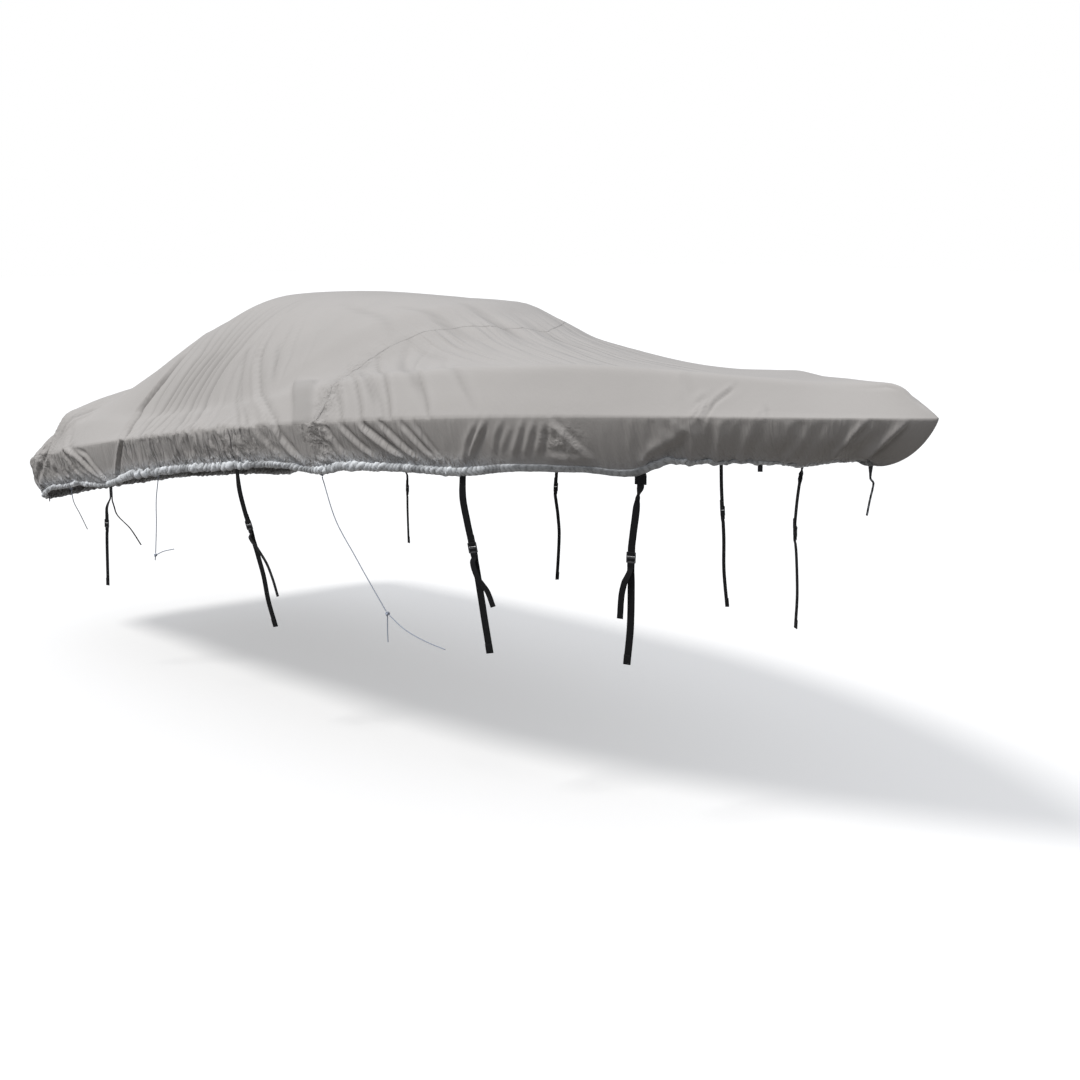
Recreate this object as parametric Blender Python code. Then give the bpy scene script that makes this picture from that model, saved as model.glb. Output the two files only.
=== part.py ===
"""Fitted trailering cover for an open motor boat of about six metres.

Two sewn cloth panels drape over the left-out boat, from its ridge down past the gunwale
to a gathered hem. Webbing straps with ladder-lock buckles and thin cords pull the hem down.
Lengths are metres. Hull coordinates: x forward from the transom, y to port, z up from the
gunwale at the transom. A station is an x along the side; stations past STERN_TURN count
metres round the stern corner and along the transom. A level is -1 at the hem, 0 at the
gunwale and +1 at the ridge.
"""

import math

import bmesh
import bpy
import numpy as np
from mathutils import Matrix, Vector

# Driving dimensions
BOAT_LENGTH = 6.11
OVERHANG = 0.78
HALF_BEAM = 1.20
WIDEST = 0.362
STERN_TAPER = 0.056
CORNER_POWER = 7.0
STERN_TURN = -0.60
CLOTH = 0.002
SEAM_STATION = 3.13
GAP = 0.0003
EDGE_INSET = 0.17
SWEEP = 1.0
STRAP_THICKNESS = 0.0018
BUCKLE_LENGTH = 0.050
BUCKLE_THICKNESS = 0.008
BUCKLE_MARGIN = 0.020
PLY_GAP = 0.0014
ORIGIN = np.array([2.60, 0.0, 1.036])

DOWN = np.array([0.0, 0.0, -1.0])
LEAD = 0.006

STARBOARD = -1
PORT = 1


def table(columns, rows):
    """A small table as one array for each named column."""
    return dict(zip(columns.split(), np.array(rows, float).T))


# Height of the ridge and of the raised edge inside the gunwale, and how full the arch is
STATIONS = table("x ridge fullness rise_starboard rise_port", [
    (-0.78, -0.13, 4.0, 0.020, 0.020),
    (-0.60, -0.03, 4.0, 0.100, 0.100),
    (-0.40, 0.20, 3.0, 0.135, 0.135),
    (-0.20, 0.38, 2.4, 0.255, 0.255),
    (0.00, 0.49, 1.9, 0.185, 0.185),
    (0.35, 0.68, 1.9, 0.180, 0.180),
    (0.70, 0.845, 2.1, 0.150, 0.150),
    (1.00, 0.93, 2.3, 0.130, 0.130),
    (1.30, 1.02, 2.4, 0.120, 0.120),
    (2.00, 1.05, 2.6, 0.120, 0.120),
    (2.60, 1.04, 2.8, 0.160, 0.140),
    (3.10, 1.03, 3.0, 0.200, 0.165),
    (3.40, 0.955, 3.0, 0.220, 0.160),
    (3.70, 0.865, 2.8, 0.230, 0.170),
    (4.00, 0.82, 2.6, 0.240, 0.155),
    (4.40, 0.775, 2.4, 0.240, 0.135),
    (4.90, 0.76, 2.2, 0.210, 0.145),
    (5.40, 0.78, 2.2, 0.170, 0.110),
    (5.85, 0.79, 2.2, 0.130, 0.105),
    (6.11, 0.68, 2.2, 0.130, 0.140),
])

# Where the rib that leaves the gunwale at a station reaches the ridge
SPINE = table("station x", [
    (-1.85, -0.15),
    (0.00, 0.45),
    (0.60, 1.00),
    (3.13, 3.60),
    (5.50, 5.35),
    (6.11, 5.82),
])

# Skirt from the gunwale to the hem, let down a little at each strap
SKIRT = table("station drop", [
    (-1.85, 0.190),
    (-1.05, 0.245),
    (-0.75, 0.280),
    (-0.60, 0.272),
    (-0.40, 0.235),
    (-0.10, 0.235),
    (0.00, 0.225),
    (0.30, 0.250),
    (0.60, 0.268),
    (0.85, 0.245),
    (1.10, 0.225),
    (1.80, 0.220),
    (2.29, 0.215),
    (2.70, 0.222),
    (3.05, 0.260),
    (3.24, 0.242),
    (3.60, 0.250),
    (3.99, 0.272),
    (4.30, 0.250),
    (4.60, 0.252),
    (4.85, 0.272),
    (5.06, 0.212),
    (5.45, 0.210),
    (5.62, 0.220),
    (5.85, 0.205),
    (6.11, 0.230),
])
TUCK = table("station inward curl", [
    (-1.85, 0.20, 1.4),
    (-1.05, 0.14, 1.3),
    (-0.60, 0.11, 1.2),
    (-0.10, 0.09, 1.2),
    (0.60, 0.07, 1.2),
    (3.10, 0.08, 1.2),
    (4.80, 0.11, 1.3),
    (5.40, 0.17, 1.5),
    (5.90, 0.27, 1.8),
    (6.11, 0.34, 1.9),
])

# The cross seam swings aft over the coaming, then forward to the ridge
SEAM_BEND = table("level shift", [
    (0.00, 0.0),
    (0.10, -0.05),
    (0.20, -0.17),
    (0.33, -0.24),
    (0.50, -0.23),
    (0.65, -0.165),
    (0.80, -0.04),
    (1.00, 0.0),
])

# Spacing of the modelled ribs along the edge
RIB_RUNS = table("forward_end aft_end spacing", [
    (6.11, 4.70, 0.130),
    (4.70, 3.13, 0.085),
    (3.13, 2.50, 0.105),
    (2.50, 1.25, 0.150),
    (1.25, 0.55, 0.070),
    (0.55, -0.55, 0.140),
    (-0.55, -1.05, 0.080),
    (-1.05, -1.85, 0.220),
])
SKIRT_LEVELS = [-1.0, -0.75, -0.5, -0.25]
TOP_LEVELS = [0.0, 0.05, 0.10, 0.15, 0.22, 0.32, 0.44, 0.58, 0.72, 0.86]

# Main folds, a row each: its route over (station, level), the height of its ridge
# (a trough where negative), its half width, and the proud cloth on its forward side
FOLDS = [
    ([(0.55, 0.61), (0.78, 0.42), (0.83, 0.29), (0.79, 0.18), (0.94, 0.06), (1.04, 0.0)],
     -0.040, 0.055, 0.018),
    ([(1.04, 0.0), (0.94, -0.28), (0.76, -0.87)], -0.018, 0.050, 0.012),
    ([(0.83, 0.60), (1.14, 0.35), (1.15, 0.10), (1.26, 0.0)], -0.014, 0.060, 0.006),
    ([(1.11, 0.61), (1.39, 0.35), (1.35, 0.21), (1.42, 0.0)], -0.012, 0.060, 0.006),
    ([(1.36, 0.63), (1.60, 0.34), (1.58, 0.18), (1.72, 0.0)], -0.011, 0.060, 0.005),
    ([(1.54, 0.68), (1.79, 0.36), (1.77, 0.18), (1.91, 0.0)], -0.010, 0.060, 0.005),
    ([(1.75, 0.57), (2.08, 0.34), (2.42, 0.15), (2.65, 0.05), (2.79, 0.0)], 0.020, 0.060, -0.010),
    ([(2.79, 0.0), (2.84, -0.31), (2.95, -0.74)], 0.014, 0.060, -0.010),
    ([(2.62, 0.09), (3.05, 0.08)], -0.016, 0.090, 0.0),
    ([(3.18, 0.25), (3.56, 0.02)], -0.012, 0.055, 0.006),
    ([(3.14, 0.50), (3.86, 0.03)], -0.010, 0.060, 0.005),
    ([(3.44, 0.0), (3.67, -0.64)], 0.010, 0.050, -0.006),
    ([(4.23, 0.0), (4.05, -0.74)], 0.014, 0.055, -0.008),
    ([(4.49, 0.0), (4.38, -0.67)], 0.009, 0.050, -0.006),
    ([(5.13, -0.26), (4.98, -0.69)], 0.012, 0.055, -0.006),
    ([(5.26, 0.0), (5.26, 0.12), (5.34, 0.25)], -0.014, 0.060, 0.008),
    ([(5.90, -0.13), (5.68, -0.92)], 0.012, 0.060, -0.006),
    ([(0.21, 0.0), (0.24, -0.49), (0.60, -0.85)], 0.012, 0.055, -0.006),
    ([(-0.26, 0.04), (-0.41, -0.33), (-0.60, -0.67)], -0.014, 0.055, 0.010),
]
# Fewer, plainer folds on the far side
PORT_FOLDS = [
    ([(0.62, 0.55), (0.86, 0.30), (0.98, 0.0)], -0.026, 0.060, 0.012),
    ([(0.98, 0.0), (0.80, -0.85)], -0.014, 0.050, 0.010),
    ([(1.30, 0.60), (1.48, 0.30), (1.60, 0.0)], -0.012, 0.060, 0.006),
    ([(1.95, 0.52), (2.35, 0.22), (2.70, 0.0)], 0.016, 0.060, -0.008),
    ([(3.20, 0.35), (3.62, 0.02)], -0.010, 0.060, 0.005),
    ([(3.55, 0.0), (3.78, -0.64)], 0.010, 0.050, -0.006),
    ([(4.32, 0.0), (4.14, -0.70)], 0.012, 0.055, -0.006),
    ([(5.30, 0.20), (5.24, -0.20)], -0.012, 0.060, 0.006),
    ([(5.88, -0.10), (5.70, -0.90)], 0.010, 0.060, -0.005),
]

# Ties along the starboard hem. A route starts at the hem and ends where the tie meets the
# trailer, which is left out. A tail runs from its seat by (outward, forward, down).
STRAPS = [
    dict(name="quarter", station=0.63, width=0.030, tab=0.054, buckle_from=0.150,
         route=[(0.660, -1.130, -0.30), (0.655, -1.132, -0.42), (0.650, -1.135, -0.56),
                (0.650, -1.140, -0.78)],
         tail=[(0.000, 0.040, 0.080), (-0.080, 0.080, 0.200), (-0.130, 0.110, 0.300)],
         tail_from="tab"),
    dict(name="midship", station=2.29, width=0.032, tab=0.0, buckle_from=0.300,
         route=[(2.325, -1.120, 0.04), (2.342, -1.100, -0.09), (2.362, -1.075, -0.21),
                (2.405, -1.060, -0.34), (2.436, -1.045, -0.46), (2.447, -1.030, -0.58),
                (2.469, -1.000, -0.73)],
         tail=[(0.010, 0.012, 0.040), (0.006, 0.080, 0.090), (-0.010, 0.150, 0.170),
               (-0.020, 0.190, 0.250), (-0.030, 0.220, 0.340)],
         tail_from="buckle"),
    dict(name="shoulder", station=3.99, width=0.038, tab=0.0, buckle_from=0.330,
         route=[(4.018, -0.862, 0.18), (4.036, -0.850, 0.05), (4.058, -0.838, -0.06),
                (4.086, -0.825, -0.22), (4.106, -0.810, -0.38), (4.145, -0.800, -0.58)],
         tail=[(0.012, 0.004, 0.045), (0.020, 0.035, 0.105), (0.016, 0.095, 0.175),
               (0.012, 0.125, 0.245)],
         tail_from="buckle"),
    dict(name="bow_quarter", station=4.90, width=0.036, tab=0.036, buckle_from=0.315,
         route=[(4.889, -0.533, 0.24), (4.876, -0.533, 0.16), (4.862, -0.536, 0.06),
                (4.853, -0.540, -0.04), (4.864, -0.545, -0.16), (4.870, -0.552, -0.34),
                (4.857, -0.560, -0.53)],
         tail=[(0.014, -0.002, 0.045), (0.026, -0.018, 0.085), (0.028, -0.032, 0.155),
               (0.028, -0.038, 0.255)],
         tail_from="buckle"),
]
# Cords, tied by a knot under the hem; each further knot stands at the end of the run above it
CORDS = [
    dict(name="stern_cord", station=-0.10, radius=0.0030, knot=0.014,
         runs=[[(-0.060, -1.035, -0.33), (-0.060, -0.990, -0.44), (-0.080, -0.935, -0.55)]]),
    dict(name="thin_cord", station=1.32, radius=0.0030, knot=0.014,
         runs=[[(1.335, -1.125, -0.16), (1.345, -1.135, -0.30), (1.350, -1.150, -0.47)]],
         end_knot=0.012,
         tails=[[(1.400, -1.120, -0.455), (1.450, -1.080, -0.440)],
                [(1.340, -1.150, -0.515)]]),
    dict(name="seam_cord", station=3.04, radius=0.0030, knot=0.014,
         runs=[[(3.155, -1.035, -0.03), (3.290, -1.000, -0.22), (3.400, -0.975, -0.36),
                (3.490, -0.955, -0.47)]],
         end_knot=0.014,
         tails=[[(3.500, -0.955, -0.560), (3.510, -0.960, -0.625)],
                [(3.620, -0.930, -0.545), (3.760, -0.890, -0.590), (3.860, -0.860, -0.610)]]),
]
# Short webbing loops sewn to the hem, with nothing tied to them
LOOPS = table("station width length", [
    (-0.52, 0.022, 0.045),
    (5.42, 0.022, 0.035),
])
BOW_TAB = dict(width=0.030, length=0.045)
BOW_CORD = dict(radius=0.0050, route=[(5.785, 0.0, 0.36), (5.768, 0.0, 0.28), (5.755, 0.0, 0.215)])

MATERIALS = {
    "cloth": ((0.46, 0.45, 0.44, 1.0), 0.90),
    "webbing": ((0.02, 0.02, 0.022, 1.0), 0.80),
    "buckle": ((0.05, 0.05, 0.055, 1.0), 0.45),
    "pale_cord": ((0.62, 0.63, 0.64, 1.0), 0.85),
}


def smooth(values, keys, column):
    """Monotone cubic through the table's points."""
    step = np.diff(keys)
    slope = np.diff(column) / step
    ease = np.zeros_like(column)
    rising = slope[:-1] * slope[1:] > 0
    before = np.where(rising, slope[:-1], 1.0)
    after = np.where(rising, slope[1:], 1.0)
    long_weight = 2 * step[1:] + step[:-1]
    short_weight = step[1:] + 2 * step[:-1]
    mean = (long_weight + short_weight) / (long_weight / before + short_weight / after)
    ease[1:-1] = np.where(rising, mean, 0.0)
    ease[0] = slope[0]
    ease[-1] = slope[-1]
    i = np.clip(np.searchsorted(keys, values, side="right") - 1, 0, len(keys) - 2)
    t = np.clip((values - keys[i]) / step[i], 0, 1)
    start = (1 + 2 * t) * (1 - t) ** 2 * column[i] + t * (1 - t) ** 2 * step[i] * ease[i]
    end = t * t * (3 - 2 * t) * column[i + 1] + t * t * (t - 1) * step[i] * ease[i + 1]
    return start + end


def smoothstep(t):
    t = np.clip(t, 0, 1)
    return t * t * (3 - 2 * t)


# The edge seen from above

def half_beam(x):
    """Half the width of the cover at x: widest aft of the middle, fine at the bow."""
    u = np.clip(x / BOAT_LENGTH, 0, 1)
    forward = np.clip((u - WIDEST) / (1 - WIDEST), 0, 1)
    aft = np.clip((WIDEST - u) / WIDEST, 0, 1)
    side = HALF_BEAM * (1 - forward**1.818) ** 0.859 * (1 - STERN_TAPER * aft**2)
    over = np.clip(-x / OVERHANG, 0, 1)
    return side * (1 - over**CORNER_POWER) ** (1 / CORNER_POWER)


def starboard_outline(count=3000):
    """Starboard edge from bow tip to transom centre, with its running length."""
    along = np.linspace(0, 1, count)
    turn = along * math.pi / 2
    side_x = BOAT_LENGTH * (1 - along**1.5)
    stern_x = -OVERHANG * np.sin(turn) ** (2 / CORNER_POWER)
    stern_y = HALF_BEAM * (1 - STERN_TAPER) * np.cos(turn) ** (2 / CORNER_POWER)
    x = np.concatenate([side_x[:-1], stern_x])
    y = np.concatenate([half_beam(side_x)[:-1], stern_y])
    y[0] = 0.0
    y[-1] = 0.0
    girth = np.concatenate([[0], np.cumsum(np.hypot(np.diff(x), np.diff(y)))])
    return x, -y, girth


EDGE_X, EDGE_Y, EDGE_GIRTH = starboard_outline()
GIRTH = EDGE_GIRTH[-1]
TURN_GIRTH = np.interp(STERN_TURN, EDGE_X[::-1], EDGE_GIRTH[::-1])
TRANSOM_STATION = STERN_TURN - (GIRTH - TURN_GIRTH)


def girth_at(station):
    """Running length round the edge, from the bow tip to a station."""
    on_side = np.interp(station, EDGE_X[::-1], EDGE_GIRTH[::-1])
    past_turn = np.minimum(TURN_GIRTH + (STERN_TURN - station), GIRTH)
    return np.where(np.asarray(station) >= STERN_TURN, on_side, past_turn)


def station_of(girth):
    side = np.interp(girth, EDGE_GIRTH, EDGE_X)
    return np.where(girth <= TURN_GIRTH, side, STERN_TURN - (girth - TURN_GIRTH))


def sheer(x):
    """Height of the gunwale, rising to the bow and dropping over the stern."""
    u = np.clip(x / BOAT_LENGTH, 0, 1)
    aft = np.clip((0.12 - x) / (OVERHANG + 0.12), 0, 1)
    return 1.091 * u - 0.283 * u**2 - 0.167 * u**3 + 0.02 * u**10 - 0.14 * aft**1.4


# The draped surface

def soft_limit(t, ease=0.18):
    """t up to 1, then 1, with an eased corner."""
    inside = t - (1 - ease)
    eased = t - inside**2 / (4 * ease)
    return np.where(t < 1 - ease, t, np.where(t > 1 + ease, 1.0, eased))


def top_height(x, y, inward):
    """Raised edge inside the gunwale, and the arch from there to the ridge."""
    port_share = 0.5 + 0.5 * np.tanh(y / 0.25)
    rise_starboard = smooth(x, STATIONS["x"], STATIONS["rise_starboard"])
    rise_port = smooth(x, STATIONS["x"], STATIONS["rise_port"])
    rise = (1 - port_share) * rise_starboard + port_share * rise_port
    edge = sheer(x) + rise * soft_limit(inward / EDGE_INSET)
    across = np.clip(np.abs(y) / np.maximum(half_beam(x) - EDGE_INSET, 0.02), 0, 1)
    swept = np.minimum(x + SWEEP * y * y * smoothstep((x - 1.9) / 1.0), 6.0)
    ridge = smooth(swept, STATIONS["x"], STATIONS["ridge"])
    ridge = ridge + (sheer(x) - sheer(swept)) * (swept > x)
    fullness = smooth(x, STATIONS["x"], STATIONS["fullness"])
    arch = (ridge - (sheer(x) + rise)) * (1 - across**fullness)
    return edge + arch * (1 - np.exp(-((inward / 0.16) ** 2)))


def drape(girth, level, side):
    """Points of the cover before its folds are laid in."""
    edge_x = np.interp(girth, EDGE_GIRTH, EDGE_X)
    edge_y = np.interp(girth, EDGE_GIRTH, EDGE_Y)
    station = station_of(girth)
    spine_x = smooth(station, SPINE["station"], SPINE["x"])
    reach = np.maximum(np.hypot(edge_x - spine_x, edge_y), 1e-6)
    up = np.clip(level, 0, 1)
    bent = smoothstep((station - 1.0) / 1.0) * smoothstep((5.0 - station) / 1.0)
    shift = bent * smooth(up, SEAM_BEND["level"], SEAM_BEND["shift"])
    top_x = edge_x + (spine_x - edge_x) * up + shift
    top_y = -side * edge_y * (1 - up)
    top_z = top_height(top_x, top_y, reach * up)
    down = np.clip(-level, 0, 1)
    drop = smooth(station, SKIRT["station"], SKIRT["drop"])
    inward = smooth(station, TUCK["station"], TUCK["inward"]) * down**1.25
    curl = smooth(station, TUCK["station"], TUCK["curl"])
    skirt_x = edge_x + (spine_x - edge_x) / reach * inward
    skirt_y = -side * (edge_y - edge_y / reach * inward)
    skirt_z = sheer(edge_x) - drop * (1 - (1 - down) ** curl)
    is_top = level >= 0
    return np.stack([np.where(is_top, top_x, skirt_x), np.where(is_top, top_y, skirt_y),
                     np.where(is_top, top_z, skirt_z)], axis=-1)


def fold_line(route, side, steps=6):
    """A fold's route laid on the draped surface."""
    station, level = np.array(route, float).T
    at = np.linspace(0, len(route) - 1, steps * (len(route) - 1) + 1)
    index = np.arange(len(route))
    girth = np.interp(at, index, girth_at(station))
    return drape(girth, np.interp(at, index, level), side)


def fold_relief(points, folds, side):
    """How far each point stands out of the drape for the folds that pass it."""
    relief = np.zeros(points.shape[:-1])
    for route, height, width, lip in folds:
        line = fold_line(route, side)
        nearest = np.full(relief.shape, 9.0)
        forward = np.ones(relief.shape)
        for start, end in zip(line[:-1], line[1:]):
            run = end - start
            t = np.clip((points - start) @ run / (run @ run), 0, 1)
            away = points - (start + t[..., None] * run)
            distance = np.linalg.norm(away, axis=-1)
            closer = distance < nearest
            nearest = np.where(closer, distance, nearest)
            forward = np.where(closer, np.where(away[..., 0] >= 0, 1.0, -1.0), forward)
        offset = nearest * forward
        relief += height * np.exp(-((offset / width) ** 2))
        relief += lip * np.exp(-((offset / width - 1.6) ** 2))
    return relief


def unit(vectors):
    return vectors / np.maximum(np.linalg.norm(vectors, axis=-1, keepdims=True), 1e-12)


def half_cover(girths, levels, side):
    """Grid of points on one side, hem to ridge, and the outward normals there."""
    girth, level = np.meshgrid(girths, levels, indexing="ij")
    step_girth = 0.01
    step_level = 0.01
    ahead = drape(np.clip(girth + step_girth, 0, GIRTH), level, side)
    behind = drape(np.clip(girth - step_girth, 0, GIRTH), level, side)
    above = drape(girth, np.clip(level + step_level, -1, 1), side)
    below = drape(girth, np.clip(level - step_level, -1, 1), side)
    normal = unit(np.cross(behind - ahead, above - below) * -side)
    points = drape(girth, level, side)
    folds = FOLDS if side == STARBOARD else PORT_FOLDS
    relief = fold_relief(points, folds, side)
    edge_fade = smoothstep(np.minimum(girth, GIRTH - girth) / 0.25)
    ridge_fade = smoothstep((1 - level) / 0.15)
    return points + normal * (relief * edge_fade * ridge_fade)[..., None], normal


def rib_girths():
    """Ribs along the edge, with one at each side of every tab, strap and knot."""
    plain = [0.0]
    for forward_end, aft_end, spacing in zip(*RIB_RUNS.values()):
        first = float(girth_at(forward_end))
        last = min(float(girth_at(max(aft_end, TRANSOM_STATION))), GIRTH)
        count = max(round((last - first) / spacing), 1)
        plain += list(np.linspace(first, last, count + 1)[1:])
    pinned = [float(girth_at(SEAM_STATION)), 0.0, GIRTH]
    tied = [strap["station"] for strap in STRAPS] + [cord["station"] for cord in CORDS]
    for station in tied + list(LOOPS["station"]):
        centre = float(girth_at(station))
        pinned += [centre - 0.032, centre + 0.032]
    kept = [g for g in plain if min(abs(g - p) for p in pinned) > 0.045]
    return np.array(sorted(kept + pinned))


RIBS = rib_girths()
LEVELS = np.array(SKIRT_LEVELS + TOP_LEVELS + [1.0])


def whole_cover():
    """Grid across the boat, starboard hem to port hem, for each rib."""
    starboard, starboard_normal = half_cover(RIBS, LEVELS, STARBOARD)
    port, port_normal = half_cover(RIBS, LEVELS, PORT)
    for end in (0, -1):
        middle = starboard_normal[end] * 1.0
        middle[:, 1] = 0.0
        starboard[end, :, 1] = 0.0
        port[end] = starboard[end]
        starboard_normal[end] = unit(middle)
        port_normal[end] = starboard_normal[end]
    ridge_normal = unit(starboard_normal[:, -1] + port_normal[:, -1])
    starboard_normal[:, -1] = ridge_normal
    points = np.concatenate([starboard, port[:, -2::-1]], axis=1)
    normals = np.concatenate([starboard_normal, port_normal[:, -2::-1]], axis=1)
    return points, normals


POINTS, NORMALS = whole_cover()
SEAM_RIB = int(np.argmin(np.abs(RIBS - girth_at(SEAM_STATION))))


# Building solids

def material(name):
    made = bpy.data.materials.get(name)
    if made is None:
        colour, roughness = MATERIALS[name]
        made = bpy.data.materials.new(name)
        made.use_nodes = True
        shader = made.node_tree.nodes["Principled BSDF"]
        shader.inputs["Base Color"].default_value = colour
        shader.inputs["Roughness"].default_value = roughness
    return made


def place(name, data, look):
    """Hang an object's data in the hull frame."""
    piece = bpy.data.objects.new(name, data)
    bpy.context.collection.objects.link(piece)
    piece.parent = bpy.data.objects["hull_frame"]
    data.materials.append(material(look))
    return piece


def closed_mesh(name, vertices, faces):
    mesh = bpy.data.meshes.new(name)
    mesh.from_pydata([tuple(v) for v in vertices], [], faces)
    working = bmesh.new()
    working.from_mesh(mesh)
    bmesh.ops.remove_doubles(working, verts=working.verts, dist=1e-6)
    bmesh.ops.recalc_face_normals(working, faces=working.faces)
    working.to_mesh(mesh)
    working.free()
    return mesh


def cloth_panel(name, first, last, fore_gap, aft_gap):
    """One panel between two ribs: outer face, inner face CLOTH below it, and rims."""
    outer = POINTS[first:last + 1].copy()
    if fore_gap:
        outer[0] += unit(outer[1] - outer[0]) * fore_gap
    if aft_gap:
        outer[-1] += unit(outer[-2] - outer[-1]) * aft_gap
    inner = outer - NORMALS[first:last + 1] * CLOTH
    ribs, columns = outer.shape[:2]
    layer = ribs * columns
    vertices = np.concatenate([outer.reshape(-1, 3), inner.reshape(-1, 3)])

    def vertex(rib, column, side=0):
        whole = first + rib
        if whole in (0, len(RIBS) - 1):
            column = min(column, columns - 1 - column)
        return side * layer + rib * columns + column

    faces = []
    for rib in range(ribs - 1):
        for column in range(columns - 1):
            near, far = vertex(rib, column), vertex(rib + 1, column + 1)
            for middle in (vertex(rib + 1, column), vertex(rib, column + 1)):
                ring = [near, middle, far]
                faces.append(ring)
                faces.append([v + layer for v in reversed(ring)])
        for column in (0, columns - 1):
            rim = [vertex(rib, column), vertex(rib + 1, column),
                   vertex(rib + 1, column, 1), vertex(rib, column, 1)]
            faces.append(rim)
    for rib, has_edge in ((0, fore_gap), (ribs - 1, aft_gap)):
        if has_edge:
            for column in range(columns - 1):
                faces.append([vertex(rib, column), vertex(rib, column + 1),
                              vertex(rib, column + 1, 1), vertex(rib, column, 1)])
    used = sorted({v for face in faces for v in face})
    renumber = {old: new for new, old in enumerate(used)}
    faces = [[renumber[v] for v in face] for face in faces]
    mesh = closed_mesh(name, vertices[used], faces)
    mesh.shade_smooth()
    return place(name, mesh, "cloth")


def hem_frame(station, side):
    """Seat under the faceted hem: point, direction along the hem, and down the skirt."""
    girth = float(girth_at(station))
    after = int(np.clip(np.searchsorted(RIBS, girth), 1, len(RIBS) - 1))
    share = (girth - RIBS[after - 1]) / (RIBS[after] - RIBS[after - 1])
    column = 0 if side == STARBOARD else POINTS.shape[1] - 1
    inward = 1 if side == STARBOARD else -1
    pair = slice(after - 1, after + 1)
    edges = POINTS[pair, column] - NORMALS[pair, column] * CLOTH / 2
    blend = np.array([1 - share, share])
    seat = blend @ edges
    above = blend @ POINTS[pair, column + inward]
    along = unit(edges[0] - edges[1])
    down = unit(np.cross(along, blend @ NORMALS[pair, column]))
    if down @ (seat - above) < 0:
        down = -down
    return seat, along, down


def through(points, spacing=0.02):
    """Points at even steps on a smooth curve through a route."""
    points = np.array(points, float)
    length = np.concatenate([[0], np.cumsum(np.linalg.norm(np.diff(points, axis=0), axis=1))])
    count = max(int(length[-1] / spacing), 2)
    at = np.linspace(0, length[-1], count + 1)
    return np.stack([smooth(at, length, points[:, axis]) for axis in range(3)], axis=-1)


def led(start, lead, length, route, spacing=0.025):
    """A straight lead away from a seat, then a smooth curve through the route."""
    turn = start + lead * length
    return [start] + list(through([turn] + list(route), spacing))


def ribbon(name, line, across, width, thickness=STRAP_THICKNESS):
    """Flat webbing along a line of points, its width square to the line."""
    line = np.array(line)
    tangent = np.gradient(line, axis=0)
    tangent[0] = line[1] - line[0]
    tangent[-1] = line[-1] - line[-2]
    tangent = unit(tangent)
    wide = unit(across - tangent * (tangent @ across)[:, None])
    face = np.cross(tangent, wide)
    half_width = np.broadcast_to(np.asarray(width, float) / 2, (len(line),))[:, None]
    corners = [(-1, -1), (1, -1), (1, 1), (-1, 1)]
    ring = [line + wide * half_width * a + face * thickness / 2 * b for a, b in corners]
    vertices = np.stack(ring, axis=1).reshape(-1, 3)
    faces = [[0, 1, 2, 3], [len(vertices) - 4 + k for k in (3, 2, 1, 0)]]
    for row in range(len(line) - 1):
        for k in range(4):
            here = row * 4 + k
            beside = row * 4 + (k + 1) % 4
            faces.append([here, here + 4, beside + 4, beside])
    return place(name, closed_mesh(name, vertices, faces), "webbing")


def buckle(name, centre, axis, across, width):
    """Ladder-lock buckle: three bars between two rails, with two slots."""
    rail = 0.005
    bar = 0.008
    slot = (BUCKLE_LENGTH - 3 * bar) / 2
    columns = [-width / 2 - rail, -width / 2, width / 2, width / 2 + rail]
    rows = [0, bar, bar + slot, 2 * bar + slot, 2 * bar + 2 * slot, BUCKLE_LENGTH]
    mesh = bpy.data.meshes.new(name)
    vertices = [(x, BUCKLE_LENGTH / 2 - y, 0) for y in rows for x in columns]
    faces = []
    for row in range(5):
        for column in range(3):
            is_slot = column == 1 and row in (1, 3)
            if not is_slot:
                corner = row * 4 + column
                faces.append([corner, corner + 4, corner + 5, corner + 1])
    mesh.from_pydata(vertices, [], faces)
    piece = place(name, mesh, "buckle")
    wide = unit(across - axis * (axis @ across))
    turn = Matrix((wide, -axis, np.cross(wide, -axis))).transposed()
    piece.matrix_local = Matrix.Translation(Vector(centre)) @ turn.to_4x4()
    skin = piece.modifiers.new("Thickness", "SOLIDIFY")
    skin.thickness = BUCKLE_THICKNESS
    skin.offset = 0
    return piece


def knot(name, centre, radius):
    """A pulled-tight knot, as the round lump that it fills."""
    mesh = bpy.data.meshes.new(name)
    working = bmesh.new()
    bmesh.ops.create_icosphere(working, subdivisions=2, radius=radius)
    working.to_mesh(mesh)
    working.free()
    mesh.shade_smooth()
    piece = place(name, mesh, "pale_cord")
    piece.location = Vector(centre)
    return piece


def cord(name, line, radius, look="pale_cord"):
    """A round cord along a line of points."""
    curve = bpy.data.curves.new(name, "CURVE")
    curve.dimensions = "3D"
    curve.bevel_depth = radius
    curve.bevel_resolution = 2
    curve.use_fill_caps = True
    spline = curve.splines.new("POLY")
    spline.points.add(len(line) - 1)
    for point, position in zip(spline.points, line):
        point.co = (*position, 1.0)
    return place(name, curve, look)


# Ties

def mirrored(points):
    return [(x, -y, z) for x, y, z in points]


def hem_tab(name, top, down, along, length, width):
    """Webbing tab sewn to the hem that hangs down from it; returns the seat below it."""
    bend = top + down * LEAD
    turn = bend + unit(down + DOWN) * LEAD * 1.5
    drop = np.cumsum([length / 3] * 3)[:, None] * DOWN
    ribbon(name, [top, bend, turn] + list(turn + drop), along, width, 0.003)
    return turn + drop[-1] + DOWN * GAP


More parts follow.
